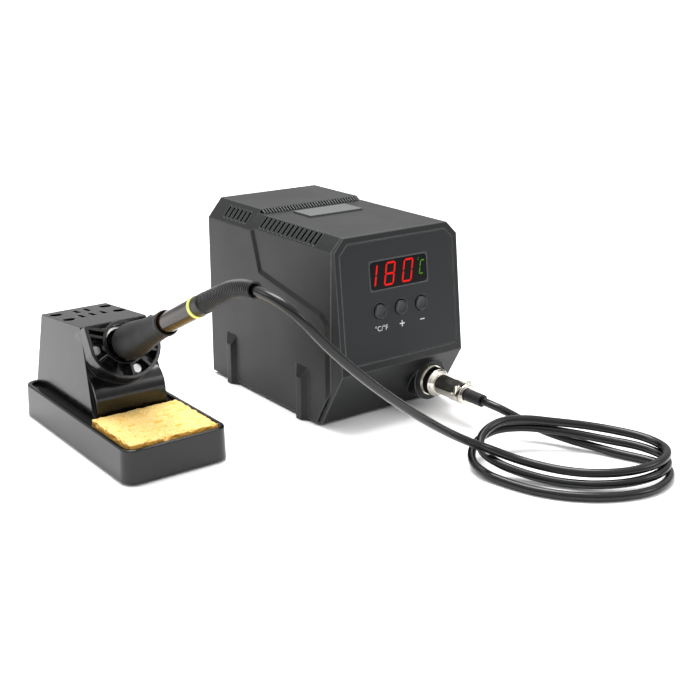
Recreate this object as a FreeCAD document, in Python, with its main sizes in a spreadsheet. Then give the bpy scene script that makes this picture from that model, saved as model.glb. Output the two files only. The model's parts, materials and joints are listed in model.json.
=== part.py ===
import FreeCAD, Part
import math
import os
import re

import Sketcher
from FreeCAD import Placement, Rotation, Vector

# Soldering iron station: a temperature-controlled power unit, a weighted stand with a
# sponge, the iron resting in the stand, and the cord between them.  Millimetres, +Z up.
# The origin is on the bench, at the bottom centre of everything but the cord.

# ---------------------------------------------------------------- driving dimensions
SIZES = {
    # power unit: outer case
    "case_width": 94.0,         # across the front, between the recessed flanks
    "case_depth": 150.5,
    "case_bottom": 2.0,         # gap under the case
    "case_wall": 2.2,
    "front_height": 118.5,      # top of the front part
    "rear_raise": 2.5,          # how far the rear part stands above the front part
    "step_back": 102.0,         # front of the raised rear part
    "flank_raise": 1.2,         # how far the lower flank stands proud
    "chamfer_across": 7.6,      # top side chamfer, front part
    "chamfer_down": 7.7,
    "rear_chamfer_down": 12.1,
    "seam_back": 16.0,          # seam between front bezel and cover
    "seam_gap": 0.2,
    "vent_slot": 2.3,
    "vent_pitch": 4.8,
    "badge_width": 41.0,
    "badge_depth": 19.0,
    "badge_raise": 0.8,
    # power unit: slanted front
    "front_lean": 6.7,          # degrees the face leans back
    "crease_back": 4.2,
    "crease_height": 37.7,
    "under_back": 24.8,         # bottom front edge
    "bezel_wall": 4.0,
    "fascia_half": 43.2,
    "fascia_low": 4.9,          # along the face, from the crease
    "fascia_high": 77.2,
    "fascia_corner": 6.0,
    "fascia_sheet": 1.6,
    "fascia_sink": 0.2,
    "window_width": 44.6,
    "window_tall": 17.8,
    "window_up": 56.1,          # window centre, up the face
    "window_sink": 0.5,
    "lens_thick": 2.4,
    "fit_gap": 0.2,
    "button_up": 34.7,
    "button_pitch": 16.0,
    "button_radius": 4.7,
    "button_gap": 0.3,
    "button_proud": 0.5,
    "button_dome": 0.7,
    "button_travel": 0.8,
    "board_thick": 1.6,
    "display_deep": 7.0,
    # rubber feet and flank ribs
    "rib_proud": 3.0,
    "rib_tall": 34.5,
    "rib_front": 44.0,
    "rib_rear": 125.0,
    "foot_radius": 6.0,
    "foot_inset": 38.0,
    # plug and socket, on one axis that runs front to back
    "socket_side": 26.5,
    "socket_up": 19.6,
    "boss_radius": 13.0,
    "boss_back": 9.5,
    "socket_radius": 7.8,
    "socket_flange": 9.6,
    "nut_radius": 9.1,
    "nut_long": 8.6,
    "thread_gap": 0.1,
    "plug_radius": 6.25,
    "plug_long": 13.0,
    "clamp_long": 11.5,
    "clamp_radius": 6.6,
    "sleeve_radius": 3.8,
    "sleeve_long": 13.0,
    # back panel
    "back_panel": 2.5,
    "inlet_width": 27.2,
    "inlet_tall": 19.8,
    "inlet_up": 32.0,
    "switch_width": 13.0,
    "switch_tall": 19.4,
    "switch_side": 26.0,
    "fuse_radius": 6.2,
    "fuse_side": 27.0,
    # inside the case
    "floor_thick": 2.5,
    "post_tall": 8.0,
    "main_board_wide": 80.0,
    "main_board_deep": 96.0,
    "core_wide": 52.0,
    "core_deep": 22.0,
    "core_tall": 46.0,
    # stand
    "stand_long": 139.6,
    "stand_wide": 65.4,
    "stand_tall": 20.8,
    "stand_foot": 1.6,
    "stand_corner": 8.0,
    "rim_wide": 2.8,
    "deck_drop": 2.4,
    "well_front": 3.8,
    "well_deep": 49.8,
    "well_half": 28.4,
    "well_floor": 9.0,
    "stand_wall": 2.2,
    "tower_front": 55.5,
    "tower_rear": 136.0,
    "tower_half": 24.6,
    "tower_top_front": 75.0,
    "tower_top_rear": 126.5,
    "tower_top_half": 20.6,
    "tower_tall": 70.5,
    "tower_fall": 5.6,          # degrees the top slopes down to the back
    "tower_wall": 2.3,
    "apron_low": 11.0,          # height of the flat part of the tower's front
    "apron_roll": 14.0,         # radius that rolls back from it
    "tip_hole": 3.8,
    "tip_hole_side": 16.2,
    # holder on the front of the tower
    "holder_back": 60.0,
    "holder_up": 61.6,
    "holder_tilt": 31.7,
    "holder_radius": 22.1,
    "holder_half": 21.4,
    "holder_high": 13.0,
    "holder_dip": 10.0,
    "holder_deep": 9.0,
    "holder_wall": 2.0,
    "holder_ring": 13.2,
    "holder_bore": 11.2,
    "neck_deep": 24.0,
    "funnel_radius": 9.6,
    "funnel_wall": 0.7,
    "funnel_sink": 5.0,
    "funnel_long": 34.0,
    # sponge
    "sponge_gap": 0.9,
    "sponge_top": 22.5,
    # iron: lengths along its axis from the fat end of the grip
    "iron_back": 58.8,
    "iron_up": 60.3,
    "iron_tilt": 26.6,
    "grip_radius": 10.5,
    "grip_nose": 7.6,
    "grip_lip": 7.1,
    "grip_long": 56.8,
    "handle_radius": 5.7,
    "handle_long": 92.7,
    "ring_long": 3.0,
    "ring_raise": 0.15,
    "collar_long": 6.0,
    "collar_radius": 5.6,
    "relief_straight": 24.0,
    "relief_curved": 27.0,
    "relief_turn": 24.0,        # degrees the strain relief bends down
    "relief_end": 4.3,
    "barrel_nut_radius": 6.0,
    "barrel_nut_long": 10.0,
    "barrel_radius": 4.2,
    "barrel_long": 36.0,
    "tip_radius": 3.0,
    "tip_long": 20.0,
    "heater_radius": 1.9,
    # cord
    "cord_radius": 2.5,
    "coil_side": 24.1,
    "coil_back": -112.6,
    "coil_half_wide": 58.1,
    "coil_half_deep": 38.4,
    "coil_askew": 142.6,        # degrees the coil's long side is turned
    "coil_band": 20.0,
    "coil_tall": 17.0,
    # places on the bench
    "station_side": 66.5,
    "station_front": -44.5,
    "stand_side": -83.5,
    "stand_front": -29.0,
}

doc = FreeCAD.newDocument("soldering_station")
sheet = doc.addObject("Spreadsheet::Sheet", "sizes")
for row, (alias, size) in enumerate(SIZES.items(), start=1):
    sheet.set(f"A{row}", alias)
    sheet.set(f"B{row}", str(size))
    sheet.setAlias(f"B{row}", alias)
doc.recompute()

# ---------------------------------------------------------------- helpers
NODES = {}
WORD = re.compile(r"[a-z][a-z_0-9]*")
DIRECTIONS = {
    "X": Rotation(Vector(0, 1, 0), 90),
    "Y": Rotation(Vector(1, 0, 0), -90),
    "Z": Rotation(),
    "-X": Rotation(Vector(0, 1, 0), -90),
    "-Y": Rotation(Vector(1, 0, 0), 90),
    "-Z": Rotation(Vector(1, 0, 0), 180),
}


def bound(expression):
    """The expression with every size name turned into its spreadsheet cell."""
    return WORD.sub(lambda m: "sizes." + m[0] if m[0] in SIZES else m[0], str(expression))


def value(expression):
    """The number that an expression over the sheet gives now."""
    result = sheet.evalExpression(bound(expression))
    return float(getattr(result, "Value", result))


def bind(thing, **properties):
    """Bind properties of an object to expressions over the sheet."""
    for name, expression in properties.items():
        thing.setExpression(name, bound(expression))


def put(thing, at, rotation=None):
    """Bind an object's place to three expressions, with a fixed turn."""
    thing.Placement = Placement(Vector(*map(value, at)), rotation or Rotation())
    for axis, expression in zip("xyz", at):
        thing.setExpression(f"Placement.Base.{axis}", bound(expression))
    return thing


def node(label, thing, frame, tilt=None):
    """Name a finished sub-part and stand it in one of the frames."""
    if thing.TypeId in ("Part::Box", "Part::Cylinder", "Part::Cone"):
        thing = group(thing)
    thing.Label = label
    if tilt is None:
        put(thing, frame)
    else:
        put(thing, frame, Rotation(Vector(1, 0, 0), value(tilt)))
        thing.setExpression("Placement.Rotation.Angle", bound(tilt))
    NODES[label] = thing
    return thing


def box(size, at=(0, 0, 0)):
    """A block: size and low corner as expressions."""
    thing = doc.addObject("Part::Box", "block")
    bind(thing, Length=size[0], Width=size[1], Height=size[2])
    return put(thing, at)


def slab(size, at):
    """A block centred on X, otherwise like box()."""
    return box(size, (f"{at[0]} - ({size[0]}) / 2", at[1], at[2]))


def rod(radius, length, at=(0, 0, 0), towards="Z"):
    """A cylinder that starts at a point and runs one way."""
    thing = doc.addObject("Part::Cylinder", "rod")
    bind(thing, Radius=radius, Height=length)
    return put(thing, at, DIRECTIONS[towards])


def cone(radius, end_radius, length, at=(0, 0, 0), towards="Z"):
    thing = doc.addObject("Part::Cone", "cone")
    bind(thing, Radius1=radius, Radius2=end_radius, Height=length)
    return put(thing, at, DIRECTIONS[towards])


def wedge(low, high, bottom, top):
    """A tapered block from height low to high.

    bottom and top are (half width, front, rear) at those heights.
    """
    thing = doc.addObject("Part::Wedge", "wedge")
    bind(thing, Ymin=low, Ymax=high,
         Xmin=f"-({bottom[0]})", Xmax=bottom[0], Zmin=bottom[1], Zmax=bottom[2],
         X2min=f"-({top[0]})", X2max=top[0], Z2min=top[1], Z2max=top[2])
    # the wedge grows along its own Y: turn that up, and mirror its depth the right way
    thing.Placement = Placement(Vector(), Rotation(Vector(0, 1, 1), 180) * Rotation(Vector(0, 0, 1), 0))
    return thing


def fuse(*things):
    thing = doc.addObject("Part::MultiFuse", "fuse")
    thing.Shapes = list(things)
    return thing


def cut(base, *tools):
    thing = doc.addObject("Part::Cut", "cut")
    thing.Base = base
    thing.Tool = tools[0] if len(tools) == 1 else fuse(*tools)
    return thing


def common(one, other):
    thing = doc.addObject("Part::Common", "common")
    thing.Base = one
    thing.Tool = other
    return thing


def group(*things):
    """Separate solids that share one node."""
    thing = doc.addObject("Part::Compound", "group")
    thing.Links = list(things)
    return thing


def new_body(name):
    return doc.addObject("PartDesign::Body", name)


def sketch_on(body, plane, offset="0"):
    """An empty sketch on one of the body's own origin planes, moved along its normal."""
    sketch = body.newObject("Sketcher::SketchObject", "sketch")
    support = next(f for f in body.Origin.OriginFeatures if f.Role == plane + "_Plane")
    sketch.AttachmentSupport = [(support, "")]
    sketch.MapMode = "FlatFace"
    sketch.setExpression("AttachmentOffset.Base.z", bound(offset))
    return sketch


def polygon(sketch, points):
    """A closed outline whose corners are bound to the sheet."""
    spots = [Vector(value(x), value(y), 0) for x, y in points]
    first = sketch.GeometryCount
    count = len(points)
    for i in range(count):
        sketch.addGeometry(Part.LineSegment(spots[i], spots[(i + 1) % count]), False)
    for i in range(count):
        sketch.addConstraint(Sketcher.Constraint("Coincident", first + i, 2, first + (i + 1) % count, 1))
    for i, corner in enumerate(points):
        hold(sketch, "DistanceX", first + i, 1, corner[0])
        hold(sketch, "DistanceY", first + i, 1, corner[1])
    return sketch


def rectangle(sketch, centre, width, tall):
    """A rectangle about a centre, as expressions."""
    x, y = centre
    return polygon(sketch, [(f"{x} - ({width}) / 2", f"{y} - ({tall}) / 2"),
                            (f"{x} + ({width}) / 2", f"{y} - ({tall}) / 2"),
                            (f"{x} + ({width}) / 2", f"{y} + ({tall}) / 2"),
                            (f"{x} - ({width}) / 2", f"{y} + ({tall}) / 2")])


def rounded(sketch, centre, width, tall, radius):
    """A rectangle about a centre with arc corners."""
    x, y = centre
    corners = [(f"{x} + {i} * (({width}) / 2 - ({radius}))", f"{y} + {j} * (({tall}) / 2 - ({radius}))")
               for i, j in ((1, 1), (-1, 1), (-1, -1), (1, -1))]
    reach = value(radius)
    arcs = []
    for quarter, (ax, ay) in enumerate(corners):
        spot = Vector(value(ax), value(ay), 0)
        turn = math.pi / 2 * quarter
        round_one = Part.Circle(spot, Vector(0, 0, 1), reach)
        arcs.append(sketch.addGeometry(Part.ArcOfCircle(round_one, turn, turn + math.pi / 2), False))
    for i, arc in enumerate(arcs):
        following = arcs[(i + 1) % 4]
        line = sketch.addGeometry(Part.LineSegment(
            sketch.Geometry[arc].EndPoint, sketch.Geometry[following].StartPoint), False)
        sketch.addConstraint(Sketcher.Constraint("Tangent", arc, 2, line, 1))
        sketch.addConstraint(Sketcher.Constraint("Tangent", line, 2, following, 1))
    for arc, (ax, ay) in zip(arcs, corners):
        hold(sketch, "DistanceX", arc, 3, ax)
        hold(sketch, "DistanceY", arc, 3, ay)
        held = sketch.addConstraint(Sketcher.Constraint("Radius", arc, value(radius)))
        sketch.setExpression(f"Constraints[{held}]", bound(radius))
    return sketch


def hold(sketch, kind, piece, point, expression):
    """Bind one point's distance from the sketch's origin to the sheet."""
    held = sketch.addConstraint(Sketcher.Constraint(kind, -1, 1, piece, point, value(expression)))
    sketch.setExpression(f"Constraints[{held}]", bound(expression))


def circle(sketch, centre, radius):
    x, y = centre
    spot = sketch.addGeometry(
        Part.Circle(Vector(value(x), value(y), 0), Vector(0, 0, 1), value(radius)), False)
    hold(sketch, "DistanceX", spot, 3, x)
    hold(sketch, "DistanceY", spot, 3, y)
    held = sketch.addConstraint(Sketcher.Constraint("Radius", spot, value(radius)))
    sketch.setExpression(f"Constraints[{held}]", bound(radius))
    return sketch


def pad(body, sketch, length, reverse=False, both=False):
    feature = body.newObject("PartDesign::Pad", "pad")
    feature.Profile = sketch
    bind(feature, Length=length)
    feature.Reversed = reverse
    feature.Midplane = both
    return feature


def pocket(body, sketch, length, reverse=False, both=False, taper=0):
    """Cut a sketch into the body, and make sure that it really cuts."""
    doc.recompute()
    before = body.Shape.Volume
    feature = body.newObject("PartDesign::Pocket", "pocket")
    feature.Profile = sketch
    bind(feature, Length=length)
    feature.Reversed = reverse
    feature.Midplane = both
    feature.TaperAngle = taper
    doc.recompute()
    if not body.Shape.Volume < before - 1e-3:
        raise RuntimeError(f"{body.Name}: a pocket cut nothing")
    return feature


def round_edges(body, radius, chosen):
    """Fillet the edges for which chosen(edge) is true."""
    doc.recompute()
    names = [f"Edge{i}" for i, edge in enumerate(body.Shape.Edges, start=1) if chosen(edge)]
    if not names:
        raise RuntimeError(f"{body.Name}: no edges to round")
    base = body.Tip
    feature = body.newObject("PartDesign::Fillet", "fillet")
    feature.Base = (base, names)
    bind(feature, Radius=radius)
    doc.recompute()
    return feature


def turned(points):
    """A solid turned about its axis from (radius, height) corners."""
    body = new_body("turned")
    sketch = sketch_on(body, "XZ")
    polygon(sketch, points)
    feature = body.newObject("PartDesign::Revolution", "turn")
    feature.Profile = sketch
    feature.ReferenceAxis = (sketch, ["V_Axis"])
    feature.Angle = 360
    return body


# ---------------------------------------------------------------- frames
STATION = ("station_side", "station_front", "0")
# the slanted face: X across, Y up the face from the crease, Z outwards
FACE = ("station_side", "station_front + crease_back", "crease_height")
FACE_TILT = "90 - front_lean"
PLUG = ("station_side + socket_side", "station_front", "socket_up")
STAND = ("stand_side", "stand_front", "0")
HOLDER = ("stand_side", "stand_front + holder_back", "holder_up")
HOLDER_TILT = "90 - holder_tilt"
# the iron: Z runs out along the handle from the fat end of the grip
IRON = ("stand_side", "stand_front + iron_back", "iron_up")
IRON_TILT = "90 - iron_tilt"

# ---------------------------------------------------------------- power unit: case
SLOPE = "((crease_height - case_bottom) / (under_back - crease_back))"
TOP_FRONT = "(crease_back + (front_height - crease_height) * tan(front_lean))"
HALF = "(case_width / 2)"
FLANK = "(case_width / 2 + flank_raise)"
INNER = "(case_width / 2 - case_wall)"
SHOULDER = "(front_height - chamfer_down)"
ROOF = "(front_height - case_wall)"


def case_outline(sketch, half, shoulder, top_half, top, bottom):
    """The case's section across its width, with chamfered top corners."""
    return polygon(sketch, [(f"-{half}", bottom), (f"-{half}", shoulder), (f"-{top_half}", top),
                            (top_half, top), (half, shoulder), (half, bottom)])


def housing_cover():
    """Top and both flanks in one moulded shell."""
    body = new_body("housing_cover")
    outline = sketch_on(body, "XZ", "-(seam_back + seam_gap)")
    polygon(outline, [
        (f"-{FLANK}", "case_bottom"),
        (f"-{FLANK}", "front_height + rear_raise - rear_chamfer_down"),
        (f"-({FLANK} - chamfer_across - 2.6)", "front_height + rear_raise"),
        (f"({FLANK} - chamfer_across - 2.6)", "front_height + rear_raise"),
        (FLANK, "front_height + rear_raise - rear_chamfer_down"),
        (FLANK, "case_bottom"),
        (INNER, "case_bottom"),
        (INNER, f"{SHOULDER} - case_wall * 0.41"),
        (f"({HALF} - chamfer_across - case_wall * 0.41)", ROOF),
        (f"-({HALF} - chamfer_across - case_wall * 0.41)", ROOF),
        (f"-{INNER}", f"{SHOULDER} - case_wall * 0.41"),
        (f"-{INNER}", "case_bottom")])
    pad(body, outline, "case_depth - seam_back - seam_gap", reverse=True)

    lowered = sketch_on(body, "XZ")
    polygon(lowered, [
        (f"-({HALF} + 20)", SHOULDER), (f"-{HALF}", SHOULDER),
        (f"-({HALF} - chamfer_across)", "front_height"),
        (f"({HALF} - chamfer_across)", "front_height"),
        (HALF, SHOULDER), (f"({HALF} + 20)", SHOULDER),
        (f"({HALF} + 20)", "front_height + rear_raise + 10"),
        (f"-({HALF} + 20)", "front_height + rear_raise + 10")])
    pocket(body, lowered, "step_back", reverse=False)

    under = sketch_on(body, "YZ")
    polygon(under, [("crease_back + bezel_wall + seam_gap", "crease_height"),
                    ("under_back + bezel_wall + seam_gap", "case_bottom"),
                    ("under_back + bezel_wall + seam_gap", "case_bottom - 5"),
                    ("crease_back + bezel_wall + seam_gap", "case_bottom - 5")])
    pocket(body, under, "case_width * 2", both=True)

    for side in (-1, 1):
        swoop = sketch_on(body, "YZ", f"{side} * {FLANK}")
        polygon(swoop, [("0", "0"), ("seam_back + 3.2", "0"), ("seam_back + 4.2", "66"),
                        ("seam_back + 10", "70.5"), ("step_back - 11", "83"),
                        ("step_back - 1.5", SHOULDER + " + 1"),
                        ("step_back - 1.5", "front_height + rear_raise + 8"),
                        ("0", "front_height + rear_raise + 8")])
        pocket(body, swoop, "flank_raise", reverse=side < 0, taper=-68)

    for side in (-1, 1):
        vents = sketch_on(body, "YZ", f"{side} * ({HALF} - chamfer_across - 0.8)")
        for count, start in ((13, "seam_back + 18"), (6, "step_back + 8")):
            for i in range(count):
                rectangle(vents, (f"{start} + {i} * vent_pitch", "front_height - chamfer_down / 2"),
                          "vent_slot", "chamfer_down - 1.2")
        pocket(body, vents, "20", reverse=side > 0)

    for side in (-1, 1):
        for where in ("rib_front", "rib_rear"):
            rib = sketch_on(body, "XY", "0.4")
            polygon(rib, [(f"{side} * ({FLANK} - 0.6)", f"{where} - 7"),
                          (f"{side} * ({FLANK} + rib_proud)", f"{where} - 2.4"),
                          (f"{side} * ({FLANK} + rib_proud)", f"{where} + 2.4"),
                          (f"{side} * ({FLANK} - 0.6)", f"{where} + 7")])
            pad(body, rib, "rib_tall")
        bevel = sketch_on(body, "XZ")
        polygon(bevel, [(f"{side} * {FLANK}", "rib_tall + 0.4"),
                        (f"{side} * ({FLANK} + rib_proud + 1)", "rib_tall - 9"),
                        (f"{side} * ({FLANK} + rib_proud + 1)", "rib_tall + 4"),
                        (f"{side} * {FLANK}", "rib_tall + 4")])
        pocket(body, bevel, "case_depth - 1", reverse=False)
    return body


def front_bezel():
    """Moulded front frame with the slanted face and the under-cut lower front."""
    body = new_body("front_bezel")
    side_view = sketch_on(body, "YZ")
    behind = f"(crease_height - (seam_back - bezel_wall - crease_back) * {SLOPE})"
    polygon(side_view, [("under_back", "case_bottom"), ("crease_back", "crease_height"),
                        (TOP_FRONT, "front_height"), ("seam_back", "front_height"),
                        ("seam_back", behind), ("under_back + bezel_wall", "case_bottom")])
    pad(body, side_view, "case_width", both=True)

    corners = sketch_on(body, "XZ")
    for side in (-1, 1):
        polygon(corners, [(f"{side} * {HALF}", SHOULDER),
                          (f"{side} * ({HALF} - chamfer_across)", "front_height"),
                          (f"{side} * ({HALF} + 2)", "front_height + 2")])
    pocket(body, corners, "seam_back + 5", reverse=False)

    hollow = sketch_on(body, "YZ")
    rise = "(crease_height + (seam_back - bezel_wall - crease_back) / tan(front_lean))"
    polygon(hollow, [("crease_back + bezel_wall", "crease_height"), ("seam_back", rise),
                     ("seam_back + 1", rise), ("seam_back + 1", behind), ("seam_back", behind)])
    pocket(body, hollow, "case_width - 2 * bezel_wall", both=True)
    return body


def face_sketch_tools():
    """Cutters in the face's own frame: fascia recess, window and button holes."""
    recess = new_body("fascia_recess")
    outline = sketch_on(recess, "XY", "-(fascia_sheet + fascia_sink)")
    fascia_outline(outline, "fit_gap")
    pad(recess, outline, "10")
    window = slab(("window_width", "window_tall", "30"), ("0", "window_up - window_tall / 2", "-20"))
    holes = [rod("button_radius + button_gap", "30", (f"{i} * button_pitch", "button_up", "-20"))
             for i in (-1, 0, 1)]
    return [recess, window] + holes


def fascia_outline(sketch, grow):
    """The inset panel's outline: chamfered top corners, grown by a clearance."""
    half = f"(fascia_half + {grow})"
    return polygon(sketch, [(f"-{half}", f"fascia_low - {grow}"), (f"-{half}", "fascia_high - fascia_corner"),
                            (f"-({half} - fascia_corner)", f"fascia_high + {grow}"),
                            (f"({half} - fascia_corner)", f"fascia_high + {grow}"),
                            (half, "fascia_high - fascia_corner"), (half, f"fascia_low - {grow}")])


def fascia_panel():
    body = new_body("fascia_panel")
    outline = sketch_on(body, "XY", "-(fascia_sheet + fascia_sink)")
    fascia_outline(outline, "0")
    rectangle(outline, ("0", "window_up"), "window_width", "window_tall")
    for i in (-1, 0, 1):
        circle(outline, (f"{i} * button_pitch", "button_up"), "button_radius + button_gap")
    pad(body, outline, "fascia_sheet")
    round_edges(body, "1.6", lambda e: len(e.Vertexes) == 2 and abs(e.tangentAt(0).z) > 0.99
                and abs(e.CenterOfMass.y - value("window_up")) < value("window_tall")
                and abs(e.CenterOfMass.x) < value("window_width") * 0.6)
    return body


bezel_with_boss = cut(
    fuse(put(front_bezel(), ("0", "0", "0")),
         rod("boss_radius", "14", ("socket_side", "boss_back", "socket_up"), "Y")),
    rod("boss_radius", "30", ("socket_side", "boss_back", "socket_up"), "-Y"),
    rod("socket_radius + fit_gap", "60", ("socket_side", "-10", "socket_up"), "Y"))
face_cut = fuse(*face_sketch_tools())
put(face_cut, ("0", "crease_back", "crease_height"), Rotation(Vector(1, 0, 0), value(FACE_TILT)))
face_cut.setExpression("Placement.Rotation.Angle", bound(FACE_TILT))
node("front_bezel", cut(bezel_with_boss, face_cut), STATION)
node("housing_cover", housing_cover(), STATION)
node("fascia_panel", fascia_panel(), FACE, FACE_TILT)

# ---------------------------------------------------------------- power unit: display and buttons
node("display_window",
     slab(("window_width - fit_gap * 2", "window_tall - fit_gap * 2", "lens_thick"),
          ("0", "window_up - window_tall / 2 + fit_gap", "-(window_sink + lens_thick)")),
     FACE, FACE_TILT)
DISPLAY_FRONT = "-(window_sink + lens_thick + fit_gap)"
BOARD_FRONT = f"({DISPLAY_FRONT} - display_deep)"
node("display_module",
     slab(("window_width - 2", "window_tall - 1.4", "display_deep"),
          ("0", "window_up - (window_tall - 1.4) / 2", BOARD_FRONT)),
     FACE, FACE_TILT)
node("control_board",
     cut(slab(("fascia_half * 2 - 6", "fascia_high - 14", "board_thick"),
              ("0", "fascia_low + 2", f"{BOARD_FRONT} - board_thick")),
         *[rod("1.6", "10", (f"{i} * (fascia_half - 6)", f"{up}", f"{BOARD_FRONT} - 5"))
           for i in (-1, 1) for up in ("fascia_low + 5", "fascia_high - 15")]),
     FACE, FACE_TILT)
CAP_BACK = "-(bezel_wall + 1.2)"
SWITCH_TOP = f"({CAP_BACK} - button_travel - 0.1)"
for i, name in ((-1, "unit_button"), (0, "plus_button"), (1, "minus_button")):
    cap = turned([("0", CAP_BACK), ("button_radius + 0.9", CAP_BACK),
                  ("button_radius + 0.9", f"{CAP_BACK} + 1"), ("button_radius", f"{CAP_BACK} + 1"),
                  ("button_radius", "button_proud"), ("button_radius - 0.6", "button_proud + 0.45"),
                  ("button_radius * 0.5", "button_proud + button_dome"),
                  ("0", "button_proud + button_dome + 0.1")])
    node(name, cap, (FACE[0] + f" + {i} * button_pitch",
                     "station_front + crease_back + button_up * sin(front_lean)",
                     "crease_height + button_up * cos(front_lean)"), FACE_TILT)
node("tactile_switches",
     group(*[fuse(slab(("6", "6", "3.4"), (f"{i} * button_pitch", "button_up - 3", BOARD_FRONT)),
                  rod("1.7", f"{SWITCH_TOP} - {BOARD_FRONT}",
                      (f"{i} * button_pitch", "button_up", BOARD_FRONT)))
             for i in (-1, 0, 1)]),
     FACE, FACE_TILT)

# ---------------------------------------------------------------- power unit: socket in the boss
NUT_FRONT = "(boss_back - 1.4 - nut_long)"
node("iron_socket",
     cut(fuse(rod("socket_radius", "27.5", ("0", "boss_back + 20", "0"), "-Y"),
              rod("socket_flange", "1.3", ("0", "boss_back", "0"), "-Y")),
         rod("plug_radius + thread_gap", "60", ("0", "boss_back + 20", "0"), "-Y")), PLUG)
node("socket_lock_nut",
     cut(rod("socket_radius + 2.4", "2.6", ("0", "boss_back + 17", "0"), "Y"),
         rod("socket_radius", "20", ("0", "boss_back + 10", "0"), "Y")), PLUG)
node("socket_insert", rod("plug_radius + thread_gap", "6", ("0", "boss_back + 4.5", "0"), "Y"), PLUG)
node("socket_pins",
     group(*[rod("0.6", "6", (f"3 * cos({a})", "boss_back + 10.5", f"3 * sin({a})"), "Y")
             for a in (0, 72, 144, 216, 288)]), PLUG)
node("plug_barrel",
     cut(rod("plug_radius", "plug_long + nut_long - 1", ("0", f"{NUT_FRONT} - plug_long", "0"), "Y"),
         rod("plug_radius - 0.9", "nut_long", ("0", f"{NUT_FRONT} + 1.5", "0"), "Y")), PLUG)
node("plug_insert", rod("plug_radius - 0.9", "nut_long - 3", ("0", f"{NUT_FRONT} + 1.5", "0"), "Y"), PLUG)
nut_body = turned([("plug_radius + thread_gap + 0.1", "0"), ("nut_radius - 1.6", "0"),
                   ("nut_radius - 0.4", "1.2"), ("nut_radius - 0.4", "3"), ("nut_radius", "3.4"),
                   ("nut_radius", "nut_long"), ("socket_radius + thread_gap", "nut_long"),
                   ("socket_radius + thread_gap", "2"), ("plug_radius + thread_gap + 0.1", "2")])
node("coupling_nut", nut_body, (PLUG[0], f"{PLUG[1]} + {NUT_FRONT}", PLUG[2]), "-90")
CLAMP_FRONT = f"({NUT_FRONT} - plug_long)"
node("cord_clamp",
     cut(common(rod("clamp_radius", "clamp_long", ("0", CLAMP_FRONT, "0"), "-Y"),
                slab(("clamp_radius * 2", "clamp_long + 2", "clamp_radius * 2"),
                     ("0", f"{CLAMP_FRONT} - clamp_long - 1", "-clamp_radius"))),
         rod("sleeve_radius", "clamp_long + 2", ("0", f"{CLAMP_FRONT} + 1", "0"), "-Y"),
         slab(("clamp_radius * 2", "clamp_long - 5", "1.2"),
              ("0", f"{CLAMP_FRONT} - clamp_long + 1.5", "-0.6")),
         *[rod("1.5", "clamp_radius", (f"{side} * (sleeve_radius + 1.4)",
                                       f"{CLAMP_FRONT} - clamp_long / 2 - 1", "0.6"))
           for side in (-1, 1)]), PLUG)
node("clamp_screws",
     group(*[fuse(rod("1.4", "clamp_radius - 2.6", (f"{side} * (sleeve_radius + 1.4)",
                                                   f"{CLAMP_FRONT} - clamp_long / 2 - 1", "0.8")),
                  rod("1.5", "1.8", (f"{side} * (sleeve_radius + 1.4)",
                                     f"{CLAMP_FRONT} - clamp_long / 2 - 1", "clamp_radius - 2.4")))
             for side in (-1, 1)]), PLUG)
node("plug_sleeve",
     rod("sleeve_radius", "sleeve_long + clamp_long", ("0", CLAMP_FRONT, "0"), "-Y"), PLUG)

# ---------------------------------------------------------------- power unit: back
BACK_FRONT = "(case_depth - back_panel - 0.5)"
back_outline = new_body("rear_panel")
back_sketch = sketch_on(back_outline, "XZ", f"-{BACK_FRONT}")
case_outline(back_sketch, f"({INNER} - fit_gap)", f"({SHOULDER} - case_wall)",
             f"({HALF} - chamfer_across - case_wall)", f"({ROOF} - fit_gap)", "case_bottom + 0.2")
rectangle(back_sketch, ("0", "inlet_up"), "inlet_width + fit_gap * 2", "inlet_tall + fit_gap * 2")
rectangle(back_sketch, ("switch_side", "inlet_up"), "switch_width + fit_gap * 2",
          "switch_tall + fit_gap * 2")
circle(back_sketch, ("-fuse_side", "inlet_up"), "fuse_radius + fit_gap")
for i in range(7):
    rectangle(back_sketch, ("0", f"62 + {i} * 6"), "54", "2.4")
pad(back_outline, back_sketch, "back_panel", reverse=True)
node("rear_panel", back_outline, STATION)

BACK = f"({BACK_FRONT} + back_panel)"
inlet = cut(
    fuse(slab(("inlet_width", "20", "inlet_tall"), ("0", f"{BACK} - 20", "inlet_up - inlet_tall / 2")),
         slab(("inlet_width + 6", "1.8", "inlet_tall + 5"), ("0", BACK, "inlet_up - inlet_tall / 2 - 2.5"))),
    slab(("inlet_width - 3.4", "20", "inlet_tall - 4"),
         ("0", f"{BACK} - 14", "inlet_up - inlet_tall / 2 + 2")))
node("mains_inlet", inlet, STATION)
node("inlet_pins",
     group(*[slab(("2", "13", "4"), (f"{x} * 7", f"{BACK} - 19", f"inlet_up + {z}"))
             for x, z in ((-1, -4), (0, 0), (1, -4))]), STATION)
switch_frame = cut(
    fuse(slab(("switch_width", "14", "switch_tall"),
              ("switch_side", f"{BACK} - 14", "inlet_up - switch_tall / 2")),
         slab(("switch_width + 3", "1.8", "switch_tall + 3"),
              ("switch_side", BACK, "inlet_up - switch_tall / 2 - 1.5"))),
    slab(("switch_width - 3", "12", "switch_tall - 4"),
         ("switch_side", f"{BACK} - 8", "inlet_up - switch_tall / 2 + 2")))
node("power_switch_frame", switch_frame, STATION)
rocker = new_body("power_rocker")
rocker_side = sketch_on(rocker, "YZ")
polygon(rocker_side, [("-4", "0 - switch_tall * 0.27"), ("1.6", "0 - switch_tall / 2 + 2.9"),
                      ("0.8", "0"), ("3.6", "switch_tall / 2 - 3.3"), ("-3", "switch_tall * 0.27")])
pad(rocker, rocker_side, "switch_width - 3.8", both=True)
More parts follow.
